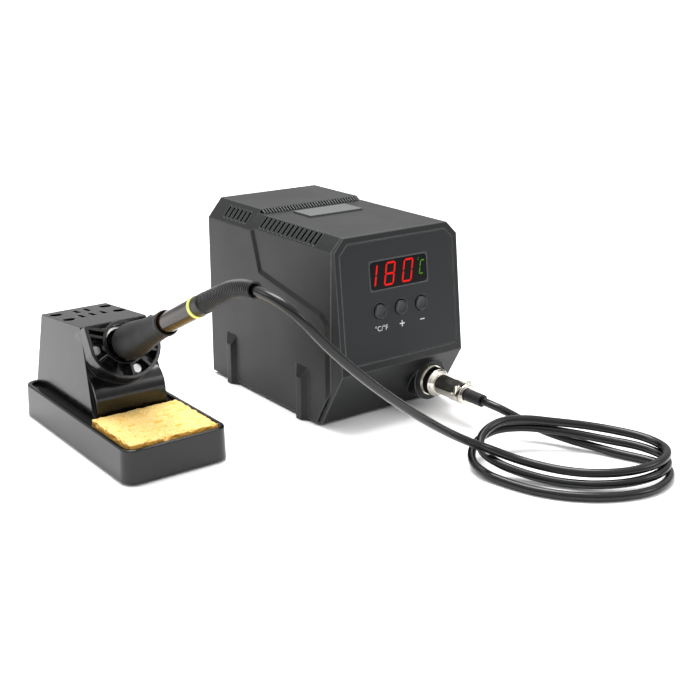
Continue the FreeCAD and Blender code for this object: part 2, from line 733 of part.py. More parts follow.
rocker_pin = rod("0.7", "switch_width - 3.2", ("1.6 - switch_width / 2", "0", "0"), "X")
node("power_rocker", fuse(rocker, rocker_pin),
     ("station_side + switch_side", f"station_front + {BACK}", "inlet_up"))
node("fuse_holder",
     cut(fuse(rod("fuse_radius", "26", ("-fuse_side", BACK, "inlet_up"), "-Y"),
              rod("fuse_radius + 1.6", "1.6", ("-fuse_side", BACK, "inlet_up"), "Y")),
         rod("fuse_radius - 1", "22", ("-fuse_side", f"{BACK} - 20", "inlet_up"), "Y")), STATION)
cap_stem = rod("fuse_radius - 1.4", "6", ("0", "-4", "0"), "Y")
cap_head = cone("fuse_radius", "fuse_radius - 0.6", "4.5", ("0", "1.8", "0"), "Y")
cap_slot = slab(("fuse_radius", "2", "1.4"), ("0", "5.3", "-0.7"))
node("fuse_cap", cut(fuse(cap_stem, cap_head), cap_slot),
     ("station_side - fuse_side", f"station_front + {BACK}", "inlet_up"))
node("fuse", rod("2.5", "15", ("-fuse_side", f"{BACK} - 19.8", "inlet_up"), "Y"), STATION)
SCREW_SPOTS = [("38", "12"), ("-38", "12"), ("34", "100"), ("-34", "100")]
node("rear_panel_screws",
     group(*[cone("2.9", "2.1", "1.6", (x, BACK, z), "Y") for x, z in SCREW_SPOTS]), STATION)

# ---------------------------------------------------------------- power unit: base and insides
FLOOR_FRONT = "(under_back + bezel_wall + 1.6)"
FLOOR_LONG = f"({BACK_FRONT} - 0.3 - {FLOOR_FRONT})"
POSTS = [(x, y) for x in ("30", "-30") for y in ("46", "130")]
floor_plate = cut(
    fuse(slab((f"{INNER} * 2 - fit_gap * 2", FLOOR_LONG, "floor_thick"), ("0", FLOOR_FRONT, "case_bottom")),
         *[rod("3.4", "post_tall + 0.5", (x, y, "case_bottom + floor_thick - 0.5")) for x, y in POSTS]),
    *[slab(("40", "2.6", "10"), ("0", f"66 + {i} * 7", "-2")) for i in range(6)],
    *[rod("1.3", "post_tall + 10", (x, y, "case_bottom + floor_thick")) for x, y in POSTS])
node("base_plate", floor_plate, STATION)
node("station_feet",
     group(*[cone("foot_radius - 0.8", "foot_radius", "case_bottom",
                  (f"{x} * foot_inset", y, "0")) for x in (-1, 1) for y in ("38", "138")]), STATION)
BOARD_UP = "(case_bottom + floor_thick + post_tall)"
node("main_board",
     cut(slab(("main_board_wide", "main_board_deep", "board_thick"), ("0", "40", BOARD_UP)),
         *[rod("1.3", "10", (x, y, f"{BOARD_UP} - 4")) for x, y in POSTS]), STATION)
node("board_screws",
     group(*[fuse(rod("1.3", "board_thick + 6", (x, y, f"{BOARD_UP} - 6")),
                  rod("2.7", "1.8", (x, y, f"{BOARD_UP} + board_thick"))) for x, y in POSTS]), STATION)
CORE_UP = f"({BOARD_UP} + board_thick)"
CORE_BACK = "92"
core = cut(
    slab(("core_wide", "core_deep", "core_tall"), ("0", CORE_BACK, CORE_UP)),
    *[slab(("core_wide / 6", "core_deep + 2", "core_tall * 0.64"),
           (f"{side} * core_wide / 4.6", f"{CORE_BACK} - 1", f"{CORE_UP} + core_tall * 0.18"))
      for side in (-1, 1)])
node("transformer_core", core, STATION)
winding = cut(
    slab(("core_wide * 0.57", "core_deep + 16", "core_tall * 0.6"),
         ("0", f"{CORE_BACK} - 8", f"{CORE_UP} + core_tall * 0.2")),
    slab(("core_wide * 0.274", "core_deep + 0.2", "core_tall"),
         ("0", f"{CORE_BACK} - 0.1", f"{CORE_UP}")))
node("transformer_winding", winding, STATION)
heatsink = fuse(slab(("34", "3", "28"), ("0", "62", CORE_UP)),
                *[slab(("1.6", "10", "28"), (f"{i} * 5.4", "64", CORE_UP)) for i in range(-3, 4)])
node("heatsink", heatsink, STATION)
node("power_triac", slab(("10", "4.4", "15"), ("0", "57.6", f"{CORE_UP} + 8")), STATION)
node("smoothing_capacitors",
     group(*[rod("5", "18", (f"{x}", "50", CORE_UP)) for x in ("-18", "18")]), STATION)
node("top_badge",
     slab(("badge_width", "badge_depth", "badge_raise"), ("0", "73", "front_height")), STATION)

# ---------------------------------------------------------------- stand
DECK = "(stand_tall - deck_drop)"


def stand_base():
    """Moulded base: tapered block, rim round a sunk deck, sponge well, hollow under the tower."""
    body = new_body("stand_base")
    plan = sketch_on(body, "XY", "stand_foot")
    rounded(plan, ("0", "stand_long / 2"), "stand_wide", "stand_long", "stand_corner")
    block = pad(body, plan, "stand_tall - stand_foot")
    block.TaperAngle = -2.0
    deck = sketch_on(body, "XY", "stand_tall")
    rounded(deck, ("0", "stand_long / 2"), "stand_wide - 2 * rim_wide - 1.4",
            "stand_long - 2 * rim_wide - 1.4", "stand_corner - rim_wide")
    pocket(body, deck, "deck_drop")
    well = sketch_on(body, "XY", "stand_tall")
    rounded(well, ("0", "well_front + well_deep / 2"), "well_half * 2", "well_deep", "4")
    pocket(body, well, "stand_tall - well_floor")
    below = sketch_on(body, "XY", "stand_foot")
    rounded(below, ("0", "(stand_long + well_front + well_deep + stand_wall) / 2"),
            "stand_wide - stand_wall * 2 - 2", "stand_long - well_front - well_deep - 3 * stand_wall", "3")
    pocket(body, below, f"{DECK} - stand_foot - stand_wall", reverse=True)
    round_edges(body, "1", lambda edge: edge.BoundBox.ZMin > value("stand_tall") - 0.01)
    return body


def plate(wide, long, thick, middle, low, corner):
    """A flat block with round corners, centred on X."""
    body = new_body("plate")
    outline = sketch_on(body, "XY", low)
    rounded(outline, ("0", middle), wide, long, corner)
    pad(body, outline, thick)
    return body


node("stand_base", stand_base(), STAND)
node("stand_bottom_cover",
     plate("stand_wide - stand_wall * 2 - 2.4",
           "stand_long - well_front - well_deep - 3 * stand_wall - 0.4", "1.6",
           "(stand_long + well_front + well_deep + stand_wall) / 2", "stand_foot", "3"), STAND)
node("ballast_weight",
     slab(("46", "66", "8"), ("0", "64", "stand_foot + 1.8")), STAND)
node("stand_feet",
     group(*[cone("4.2", "5", "stand_foot", (f"{x} * (stand_wide / 2 - 9)", y, "0"))
             for x in (-1, 1) for y in ("10", "stand_long - 9")]), STAND)

# ---------------------------------------------------------------- stand: tower and holder


def shield_outline(sketch, grow="0"):
    """The holder's face: a round lower half under a square-cornered top."""
    reach = f"(holder_half + {grow})"
    ring = f"(holder_radius + {grow})"
    points = [(f"{ring} * cos({a})", f"{ring} * sin({a})") for a in range(190, 351, 10)]
    return polygon(sketch, [(f"-{reach}", f"holder_high + {grow}")] + points
                   + [(reach, f"holder_high + {grow}"),
                      ("holder_ring - 2", f"holder_dip + {grow}"),
                      ("2 - holder_ring", f"holder_dip + {grow}")])


def shield_block(deep, low, grow="0"):
    """The shield outline as a block whose back is at low."""
    body = new_body("shield")
    pad(body, shield_outline(sketch_on(body, "XY", low), grow), deep)
    return body


def tower():
    """Hollow tapered tower with the holder's neck, a rolled front under it and the tip tray on top."""
    outer = wedge(DECK, "tower_tall + 4", ("tower_half", "tower_front", "tower_rear"),
                  ("tower_top_half", "tower_top_front", "tower_top_rear"))
    inner = wedge(f"{DECK} - 1", "tower_tall - tower_wall - 5.2",
                  ("tower_half - tower_wall", "tower_front + tower_wall + 1", "tower_rear - tower_wall"),
                  ("tower_top_half - tower_wall", "tower_top_front + tower_wall",
                   "tower_top_rear - tower_wall"))
    lid = slab(("100", "100", "30"), ("0", "-80", "0"))
    put(lid, ("-50", "tower_top_front", "tower_tall"), Rotation(Vector(1, 0, 0), -value("tower_fall")))
    lid.setExpression("Placement.Rotation.Angle", bound("0 - tower_fall"))
    front_lid = slab(("100", "64", "30"), ("0", "tower_top_front - 60", "tower_tall"))
    neck = fuse(shield_block("neck_deep", "-(holder_deep + neck_deep)"),
                rod("holder_ring", "neck_deep", ("0", "0", "-(holder_deep + neck_deep)")))
    put(neck, HOLDER_AT, Rotation(Vector(1, 0, 0), value(HOLDER_TILT)))
    neck.setExpression("Placement.Rotation.Angle", bound(HOLDER_TILT))
    seat = shield_block("holder_deep + 20", "-holder_deep", "0.1")
    put(seat, HOLDER_AT, Rotation(Vector(1, 0, 0), value(HOLDER_TILT)))
    seat.setExpression("Placement.Rotation.Angle", bound(HOLDER_TILT))
    apron = new_body("apron")
    side_view = sketch_on(apron, "YZ")
    roll = [(f"tower_front - 0.4 + apron_roll * (1 - cos({a}))",
             f"{DECK} + apron_low + apron_roll * sin({a})") for a in range(75, -1, -5)]
    polygon(side_view, [("tower_front - 0.4", DECK), ("tower_front + 12", DECK),
                        ("tower_front + 16", "holder_up - 8")] + roll)
    pad(apron, side_view, "tower_half * 2 - 5", both=True)
    bore = rod("funnel_radius + funnel_wall + 0.1", "80", HOLDER_AT)
    put(bore, HOLDER_AT, Rotation(Vector(1, 0, 0), value(HOLDER_TILT) + 180))
    bore.setExpression("Placement.Rotation.Angle", bound(f"{HOLDER_TILT} + 180"))
    holes = [rod("tip_hole", "30", (f"{x} * tip_hole_side", y, "tower_tall - 24"))
             for x in (-1, 1) for y in ("tower_top_rear - 8.5", "tower_top_front + 24")]
    slots = [slab(("2.8", "9", "30"), (x, f"{y} - 4.5", "tower_tall - 24"))
             for y, row in (("tower_top_rear - 9.5", ("-3.5", "3.5")),
                            ("tower_top_front + 27", ("-7", "0", "7"))) for x in row]
    solid = fuse(outer, apron, neck)
    below = slab(("100", "200", "60"), ("0", "-20", f"{DECK} - 60"))
    return cut(solid, lid, front_lid, inner, seat, bore, below, *holes, *slots)


HOLDER_AT = ("0", "holder_back", "holder_up")
node("stand_tower", tower(), STAND)


def holder_plate():
    """Cored shield-shaped ring that holds the funnel."""
    ring = ("0", "0", "-holder_deep")
    outer = fuse(shield_block("holder_deep", "-holder_deep"), rod("holder_ring", "holder_deep", ring))
    cells = cut(shield_block("holder_deep", "2 - holder_deep", "-holder_wall"),
                rod("holder_ring", "30", ("0", "0", "-15")))
    webs = new_body("webs")
    lines = sketch_on(webs, "XY", "-(holder_deep - 1.5)")
    for angle in (22, 158, 205, 240, 270, 305, 335):
        polygon(lines, web_corners(angle))
    pad(webs, lines, "holder_deep - 2.1")
    return cut(fuse(cut(outer, cells), webs), rod("holder_bore", "40", ("0", "0", "-20")))


def web_corners(angle):
    """Corners of one radial web between the ring and the outer wall."""
    near, far, half = "(holder_ring - 0.8)", "(holder_radius - holder_wall + 0.6)", "0.8"
    return [(f"{r} * cos({angle}) - {s} * {half} * sin({angle})",
             f"{r} * sin({angle}) + {s} * {half} * cos({angle})")
            for r, s in ((near, 1), (near, -1), (far, -1), (far, 1))]


node("holder_plate", holder_plate(), HOLDER, HOLDER_TILT)
node("funnel_guard",
     turned([("funnel_radius", "-funnel_sink"), ("funnel_radius + 1.4", "-funnel_sink"),
             ("funnel_radius + 1.4", "-funnel_sink - 1"), ("funnel_radius + funnel_wall", "-funnel_sink - 1"),
             ("funnel_radius + funnel_wall", "-funnel_sink - funnel_long"),
             ("funnel_radius", "-funnel_sink - funnel_long")]), HOLDER, HOLDER_TILT)
node("holder_screws",
     group(*[fuse(rod("1.4", "7", (f"(holder_ring + 3.2) * cos({a})", f"(holder_ring + 3.2) * sin({a})",
                                   "-holder_deep - 4")),
                  rod("2.6", "2", (f"(holder_ring + 3.2) * cos({a})", f"(holder_ring + 3.2) * sin({a})",
                                   "-holder_deep + 2")))
             for a in (183, 287)]), HOLDER, HOLDER_TILT)
node("sponge",
     plate("well_half * 2 - sponge_gap * 2", "well_deep - sponge_gap * 2",
           "sponge_top - well_floor - 0.3", "well_front + well_deep / 2", "well_floor + 0.3", "4"), STAND)

# ---------------------------------------------------------------- iron
node("grip",
     turned([("handle_radius", "grip_nose / 2"), ("grip_radius - 3.6", "0"), ("grip_radius - 1.2", "1.6"),
             ("grip_radius - 0.2", "5"), ("grip_radius", "9"), ("grip_radius - 0.2", "15"),
             ("grip_radius - 1.2", "23"), ("grip_radius - 2.4", "35"), ("grip_lip", "grip_long - 6"),
             ("grip_lip + 0.2", "grip_long - 1"), ("grip_lip - 0.4", "grip_long"),
             ("handle_radius + 0.6", "grip_long"), ("handle_radius", "grip_long - 4")]),
     IRON, IRON_TILT)
node("iron_handle",
     turned([("barrel_radius", "0.5"), ("handle_radius", "0.5"), ("handle_radius", "grip_long"),
             ("handle_radius", "handle_long"), ("handle_radius - 1.4", "handle_long"),
             ("handle_radius - 1.4", "8"), ("barrel_radius", "8")]), IRON, IRON_TILT)
node("colour_ring",
     turned([("handle_radius - 1.4", "handle_long"), ("handle_radius + ring_raise", "handle_long"),
             ("handle_radius + ring_raise", "handle_long + ring_long"),
             ("handle_radius - 1.4", "handle_long + ring_long")]), IRON, IRON_TILT)
node("barrel_nut",
     turned([("barrel_radius", "0.4"), ("barrel_nut_radius", "0.4"),
             ("barrel_nut_radius", "-barrel_nut_long + 1"),
             ("barrel_nut_radius - 1", "-barrel_nut_long"), ("barrel_radius", "-barrel_nut_long")]),
     IRON, IRON_TILT)
node("barrel_sleeve",
     turned([("barrel_radius - 0.5", "7.5"), ("barrel_radius", "7.5"),
             ("barrel_radius", "-barrel_nut_long - barrel_long"),
             ("tip_radius + 0.05", "-barrel_nut_long - barrel_long"),
             ("tip_radius + 0.05", "-barrel_nut_long - barrel_long + 1.5"),
             ("barrel_radius - 0.5", "-barrel_nut_long - barrel_long + 1.5")]), IRON, IRON_TILT)
TIP_BACK = "(-barrel_nut_long - barrel_long + 14)"
node("iron_tip",
     turned([("heater_radius + 0.1", TIP_BACK), ("tip_radius", TIP_BACK),
             ("tip_radius", f"{TIP_BACK} - 17"), ("0.6", f"{TIP_BACK} - 14 - tip_long"),
             ("0", f"{TIP_BACK} - 14 - tip_long - 0.4"), ("0", f"{TIP_BACK} - 12"),
             ("heater_radius + 0.1", f"{TIP_BACK} - 12")]), IRON, IRON_TILT)
node("heating_element", rod("heater_radius", "46", ("0", "0", f"{TIP_BACK} - 11.5")), IRON, IRON_TILT)
RELIEF_BACK = "handle_long + ring_long"
node("relief_collar",
     turned([("0", RELIEF_BACK), ("collar_radius", RELIEF_BACK),
             ("collar_radius - 0.1", f"{RELIEF_BACK} + collar_long"), ("0", f"{RELIEF_BACK} + collar_long")]),
     IRON, IRON_TILT)


def strain_relief():
    """Tapered relief: straight at first, then along an arc that bends down from the iron's axis."""
    turn = math.radians(value("relief_turn"))
    radius = value("relief_curved") / turn
    start = Vector(0, 0, value(RELIEF_BACK + " + collar_long + relief_straight"))
    root = Vector(0, 0, value(RELIEF_BACK + " + collar_long"))

    def spot(angle):
        return start + Vector(0, -radius * (1 - math.cos(angle)), radius * math.sin(angle))

    path = Part.Wire([Part.LineSegment(root, start).toShape(),
                      Part.Arc(spot(0), spot(turn / 2), spot(turn)).toShape()])
    finish = Vector(0, -math.sin(turn), math.cos(turn))
    ends = [Part.Wire([Part.Circle(root, Vector(0, 0, 1), value("collar_radius - 0.1")).toShape()]),
            Part.Wire([Part.Circle(spot(turn), finish, value("relief_end")).toShape()])]
    feature = doc.addObject("Part::Feature", "strain_relief")
    feature.Shape = path.makePipeShell(ends, True, False)
    return feature


node("strain_relief", strain_relief(), IRON, IRON_TILT)

# ---------------------------------------------------------------- cord
# Route points in the frame of the power unit, chosen by hand: from the strain relief down
# to the bench, and from the plug back to the coil.
LEAD_ROUTE = [(-143.8, -89.6, 116.8), (-126.5, -92.4, 96.2), (-96, -91, 69), (-58.5, -87, 41.5),
              (-30, -84.5, 23.5), (-12, -87.5, 12)]
TAIL_ROUTE = [(26.5, -51.5, 19.6), (36, -66.5, 11.5), (51.5, -88, 5)]
doc.recompute()


def relief_exit():
    """Where the strain relief ends, and the way it points."""
    turn = math.radians(value("relief_turn"))
    radius = value("relief_curved") / turn
    place = NODES["strain_relief"].Placement
    start = value(RELIEF_BACK + " + collar_long + relief_straight")
    end = Vector(0, -radius * (1 - math.cos(turn)), start + radius * math.sin(turn))
    way = Vector(0, -math.sin(turn), math.cos(turn))
    return place.multVec(end), place.Rotation.multVec(way)


def cord_tube(label, points):
    """A plain tube along straight runs joined by tangent arcs."""
    edges, here, radii = [], points[0], []
    for before, corner, after in zip(points, points[1:], points[2:]):
        arriving, leaving = corner - before, after - corner
        turn = arriving.getAngle(leaving)
        reach = 0.45 * min(arriving.Length, leaving.Length)
        radius = reach / math.tan(turn / 2)
        inward = (leaving.normalize() - arriving.normalize()).normalize()
        start, end = corner - arriving * reach, corner + leaving * reach
        middle = corner + inward * (radius / math.cos(turn / 2) - radius)
        edges += [Part.LineSegment(here, start).toShape(), Part.Arc(start, middle, end).toShape()]
        here = end
        radii.append(round(radius, 1))
    edges.append(Part.LineSegment(here, points[-1]).toShape())
    path = Part.Wire(edges)
    section = Part.Wire([Part.Circle(points[0], points[1] - points[0], value("cord_radius")).toShape()])
    feature = doc.addObject("Part::Feature", label)
    feature.Shape = path.makePipeShell([section], True, True)
    plain = math.pi * value("cord_radius") ** 2 * path.Length
    ratio = feature.Shape.Volume / plain
    print(f"{label}: length {path.Length:.1f}, radii {radii}, volume ratio {ratio:.3f}")
    NODES[label] = feature


def oval(half_wide, half_deep, tall, low):
    """An upright block of oval plan, centred on X and Y."""
    outline = doc.addObject("Part::Ellipse", "oval")
    bind(outline, MajorRadius=half_wide, MinorRadius=half_deep)
    thing = doc.addObject("Part::Extrusion", "oval_block")
    thing.Base, thing.DirMode, thing.Dir, thing.Solid = outline, "Custom", Vector(0, 0, 1), True
    bind(thing, LengthFwd=tall)
    return put(thing, ("0", "0", low))


to_part = Vector(value("station_side"), value("station_front"), 0)
exit_spot, exit_way = relief_exit()
cord_tube("cord_lead", [exit_spot, exit_spot + exit_way * 12] + [Vector(*p) + to_part for p in LEAD_ROUTE])
sleeve_back = f"{PLUG[1]} + {CLAMP_FRONT} - clamp_long - sleeve_long"
sleeve_end = Vector(value(PLUG[0]), value(sleeve_back), value(PLUG[2]))
cord_tube("cord_tail", [sleeve_end] + [Vector(*p) + to_part for p in TAIL_ROUTE])
# the coil is a closed solid of its outer shape: a flat oval ring, turned askew
COIL = ("station_side + coil_side", "station_front + coil_back", "0")
coil = cut(oval("coil_half_wide", "coil_half_deep", "coil_tall", "0"),
           oval("coil_half_wide - coil_band", "coil_half_deep - coil_band", "coil_tall + 2", "-1"))
node("cord_coil", coil, COIL)
put(coil, COIL, Rotation(Vector(0, 0, 1), value("coil_askew")))
coil.setExpression("Placement.Rotation.Angle", bound("coil_askew"))

# ---------------------------------------------------------------- check and write
doc.recompute()
for thing in doc.Objects:
    if {"Invalid", "Error"} & set(thing.State):
        raise RuntimeError(f"{thing.Label} is {thing.State}")
os.makedirs("parts", exist_ok=True)
for label, thing in NODES.items():
    if thing.Shape.isNull() or not thing.Shape.isValid():
        raise RuntimeError(f"{label} has no valid shape")
    thing.Shape.exportStep(f"parts/{label}.step")
print(len(NODES), "nodes written")
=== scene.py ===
# %% [markdown]
# # Soldering iron station
#
# A temperature-controlled soldering station: a slanted power unit with a digit display, an
# iron that rests in a weighted stand, and a loosely coiled silicone cord between them.
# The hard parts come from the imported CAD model.  This script gives them their finishes and
# adds what CAD leaves plain: the cord, the ribbed strain relief, the sponge, the display.

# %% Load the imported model
import json
import math

import bmesh
import bpy
from mathutils import Matrix, Vector, noise


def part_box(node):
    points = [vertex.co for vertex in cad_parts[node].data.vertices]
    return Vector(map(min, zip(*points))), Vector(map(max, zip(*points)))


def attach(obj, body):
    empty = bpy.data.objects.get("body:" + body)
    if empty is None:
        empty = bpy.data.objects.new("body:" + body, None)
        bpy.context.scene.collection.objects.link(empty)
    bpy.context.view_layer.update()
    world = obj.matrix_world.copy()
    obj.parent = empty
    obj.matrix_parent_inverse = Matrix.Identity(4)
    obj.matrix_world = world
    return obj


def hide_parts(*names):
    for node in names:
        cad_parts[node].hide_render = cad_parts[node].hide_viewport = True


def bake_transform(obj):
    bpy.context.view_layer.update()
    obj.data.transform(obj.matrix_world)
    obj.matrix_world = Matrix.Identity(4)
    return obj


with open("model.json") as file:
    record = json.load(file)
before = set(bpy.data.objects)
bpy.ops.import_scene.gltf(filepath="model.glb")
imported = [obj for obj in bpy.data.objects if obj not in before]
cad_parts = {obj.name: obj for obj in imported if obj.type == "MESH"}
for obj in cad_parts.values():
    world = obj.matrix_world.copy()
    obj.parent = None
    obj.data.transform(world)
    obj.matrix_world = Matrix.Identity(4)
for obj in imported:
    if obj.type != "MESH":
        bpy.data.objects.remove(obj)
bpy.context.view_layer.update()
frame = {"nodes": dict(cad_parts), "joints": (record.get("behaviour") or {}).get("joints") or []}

mm = 0.001
scene = bpy.context.scene
nodes = frame["nodes"]
joints = {joint["name"]: joint for joint in frame["joints"]}

# %% [markdown]
# ## Camera
#
# A product view from the front left, a little above the bench.  A long lens keeps the edges
# of the power unit nearly parallel.  The camera is placed by numbers rather than by a
# Track To constraint, because other views move it about freely.

# %% Place the camera
CAMERA_SPOT = Vector((-366.8, -553.1, 269.1)) * mm
CAMERA_TURN = math.radians(37.37)   # from +Y towards +X
CAMERA_DIP = math.radians(18.43)    # below the horizon
CAMERA_ROLL = math.radians(0.276)
CAMERA_LENS = 59.86

ahead = Vector((math.sin(CAMERA_TURN) * math.cos(CAMERA_DIP),
                math.cos(CAMERA_TURN) * math.cos(CAMERA_DIP), -math.sin(CAMERA_DIP)))
level = Vector((math.cos(CAMERA_TURN), -math.sin(CAMERA_TURN), 0))
upward = level.cross(ahead)
right = level * math.cos(CAMERA_ROLL) + upward * math.sin(CAMERA_ROLL)
above = right.cross(ahead)

camera = bpy.data.objects.new("camera", bpy.data.cameras.new("camera"))
camera.data.lens = CAMERA_LENS
camera.data.clip_start, camera.data.clip_end = 0.02, 20
camera.matrix_world = Matrix.Translation(CAMERA_SPOT) @ Matrix((right, above, -ahead)).transposed().to_4x4()
scene.collection.objects.link(camera)
scene.camera = camera
print("camera", [round(v, 3) for v in camera.location])

# %% [markdown]
# ## Small helpers for shapes
#
# Most pieces here are either turned or drawn along a path: the grip, the ribbed relief and
# the cord.  One function covers them all.  It takes rings (a centre, a direction and a
# radius each) and skins them.  The ring's sideways direction is carried along the path, so
# a bent tube doesn't twist.

# %% Skin a row of rings
def add_piece(name, mesh, body):
    """Put a finished mesh in the scene, riding on a body if one is given."""
    piece = bpy.data.objects.new(name, mesh)
    scene.collection.objects.link(piece)
    if body:
        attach(piece, body)
    return piece


def skinned(name, rings, around=32, closed=True):
    """A smooth mesh through rings of (centre, direction, radius)."""
    first = rings[0][1].normalized()
    side = first.orthogonal().normalized()
    shape = bmesh.new()
    rows, before = [], first
    for centre, direction, radius in rings:
        direction = direction.normalized()
        side = before.rotation_difference(direction) @ side
        side = (side - direction * side.dot(direction)).normalized()
        across = direction.cross(side)
        before = direction
        rows.append([shape.verts.new(centre + radius * (side * math.cos(a) + across * math.sin(a)))
                     for a in (2 * math.pi * i / around for i in range(around))])
    for low, high in zip(rows, rows[1:]):
        for i in range(around):
            shape.faces.new((low[i], low[(i + 1) % around], high[(i + 1) % around], high[i]))
    if closed:
        shape.faces.new(list(reversed(rows[0])))
        shape.faces.new(rows[-1])
    bmesh.ops.recalc_face_normals(shape, faces=shape.faces)
    mesh = bpy.data.meshes.new(name)
    shape.to_mesh(mesh)
    shape.free()
    for face in mesh.polygons:
        face.use_smooth = len(face.vertices) == 4
    return mesh


def turned(name, profile, foot, way, around=48, closed=True):
    """A turned mesh: profile is (distance along the axis, radius) in millimetres."""
    return skinned(name, [(foot + way * (z * mm), way, r * mm) for z, r in profile], around, closed)

# %% [markdown]
# ## Axes to build on
#
# The iron's axis runs from the middle of its barrel nut to the middle of its colour ring.
# The slanted face has its own directions, taken from the way its buttons travel.

# %% Read the axes from the CAD nodes
NOSE_BEHIND_NUT = 4.8 * mm      # from the middle of the barrel nut to the iron's nose


def middle(node):
    low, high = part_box(node)
    return (low + high) / 2


iron_way = (middle("colour_ring") - middle("barrel_nut")).normalized()
nose = middle("barrel_nut") + iron_way * NOSE_BEHIND_NUT
press = Vector(joints["unit_button_press"]["axis"]).normalized()
face_out = -press
face_across = Vector((1, 0, 0))
face_up = face_out.cross(face_across)
plug_axis = Vector(joints["coupling_nut_turn"]["pos_m"])
print("iron leans", round(math.degrees(math.asin(iron_way.z)), 1), "degrees,",
      "face leans", round(math.degrees(math.asin(face_out.z)), 1), "degrees")

# %% [markdown]
# ## The cord
#
# A soldering iron's cord is silicone: limp, glossy, and 5 mm thick.  It leaves the strain
# relief, bends over, falls to the bench and lies in a little over two loose turns before it
# comes back to the plug.  The free stretches are a few listed points.  The turns
# are ovals worked out in a loop: eight keys a turn say how far out and how high the cord
# lies there, so that each turn differs a little, as loose turns do.  All of them are
# control points of one NURBS curve, which smooths them like a springy cord.

# %% Lay out the cord's route
CORD_THICK = 5 * mm
RELIEF_STRAIGHT = 24 * mm
RELIEF_CURVED = 27 * mm
RELIEF_TURN = math.radians(24)
COLLAR_HALF = 3 * mm

relief_start = middle("relief_collar") + iron_way * COLLAR_HALF
relief_down = Vector((1, 0, 0)).cross(iron_way)
relief_down = relief_down if relief_down.z < 0 else -relief_down
relief_bend = RELIEF_CURVED / RELIEF_TURN


def relief_spot(share):
    """Centre and direction on the relief's line, after a share of its length."""
    run = share * (RELIEF_STRAIGHT + RELIEF_CURVED)
    turn = max(0, run - RELIEF_STRAIGHT) / relief_bend
    centre = (relief_start + iron_way * (min(run, RELIEF_STRAIGHT) + relief_bend * math.sin(turn))
              + relief_down * (relief_bend * (1 - math.cos(turn))))
    return centre, iron_way * math.cos(turn) + relief_down * math.sin(turn)


cord_exit, exit_way = relief_spot(1)
plug_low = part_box("plug_sleeve")[0]
plug_exit = Vector((plug_axis.x, plug_low.y, plug_axis.z))

LEAD_ROUTE = [(-77.3, -134.1, 116.8), (-60, -136.9, 96.2), (-29.5, -135.5, 69), (8, -131.5, 41.5),
              (36.5, -127, 23.5), (52.5, -130.5, 15.5), (62.5, -141.5, 10.5), (69.5, -154.5, 9)]
TAIL_ROUTE = [(135, -173.5, 2.6), (129, -159.5, 2.6), (124, -146.5, 3.4), (118, -132.5, 4.6),
              (112, -119.5, 6.6), (105.5, -109, 10.5), (97, -98.5, 17)]

# %% [markdown]
# ## The loose coil
#
# The cord lies in two and a bit loose turns of uneven size.  A loop works the control points
# out from keys on an oval, each a share of its reach and a height.  The heights are listed
# one by one.  The reach shares and the coil's middle came another way: a curve fit outside
# this script gave them, and they were rounded.  Turns chosen by hand would teach more and
# would be a better model to follow.

# %% Work out the turns of the coil
COIL_MIDDLE = Vector((89.6, -150.1, 0)) * mm
COIL_HALF = (56.1 * mm, 42.8 * mm)
COIL_ASKEW = math.radians(-37.4)
# (how far out, height in mm) every eighth of a turn, from the front of the first turn
COIL_KEYS = [(0.50, 8.6), (0.83, 10.2), (1.08, 12.4), (0.86, 13.6), (0.69, 17.0), (0.81, 19.6),
             (0.82, 11.5), (0.56, 5.0), (0.56, 2.8), (0.91, 5.4), (1.08, 7.6), (0.77, 8.4),
             (0.68, 12.0), (0.90, 13.0), (0.90, 5.0), (0.80, 2.6), (0.94, 2.6), (1.10, 2.6),
             (1.08, 2.6)]


def eased(keys, place):
    """A smooth value between keys (a Catmull-Rom curve through them)."""
    i = min(int(place), len(keys) - 2)
    t = place - i
    a, b = keys[max(i - 1, 0)], keys[i]
    c, d = keys[i + 1], keys[min(i + 2, len(keys) - 1)]
    return (a * (-t + 2 * t ** 2 - t ** 3) + b * (2 - 5 * t ** 2 + 3 * t ** 3)
            + c * (t + 4 * t ** 2 - 3 * t ** 3) + d * (t ** 3 - t ** 2)) / 2


coil = []
for half_step in range(2 * len(COIL_KEYS) - 1):
    place = half_step / 2
    out = eased([key[0] for key in COIL_KEYS], place)
    height = max(eased([key[1] for key in COIL_KEYS], place), 2.56) * mm
    angle = math.radians(270 + 45 * place)
    spot = Vector((COIL_HALF[0] * out * math.cos(angle), COIL_HALF[1] * out * math.sin(angle), height))
    coil.append(COIL_MIDDLE + Matrix.Rotation(COIL_ASKEW, 3, "Z") @ spot)

route = [cord_exit, cord_exit + exit_way * (12 * mm)]
route += [Vector(spot) * mm for spot in LEAD_ROUTE] + coil + [Vector(spot) * mm for spot in TAIL_ROUTE]
route += [plug_exit + Vector((0, -8 * mm, 0)), plug_exit]
print(len(route), "control points,", len(coil), "of them in the coil")

# %% [markdown]
# ## From control points to a smooth line
#
# Blender can turn a NURBS curve into a mesh of short edges.  Reading the points of that mesh
# gives the smooth line that the skin follows, with no rounding of corners by hand.

# %% Draw the NURBS curve and read its line
def nurbs_line(name, points):
    """Points along an open NURBS curve of order 3 that starts and ends at its end points."""
    curve = bpy.data.curves.new(name, "CURVE")
    curve.dimensions = "3D"
    curve.resolution_u = 12
    spline = curve.splines.new("NURBS")
    spline.points.add(len(points) - 1)
    for place, spot in zip(spline.points, points):
        place.co = (*spot, 1)
    spline.order_u = 3
    spline.use_endpoint_u = True
    holder = bpy.data.objects.new(name, curve)
    scene.collection.objects.link(holder)
    line = bpy.data.meshes.new_from_object(holder)
    spots = [vertex.co.copy() for vertex in line.vertices]
    bpy.data.objects.remove(holder)
    return spots


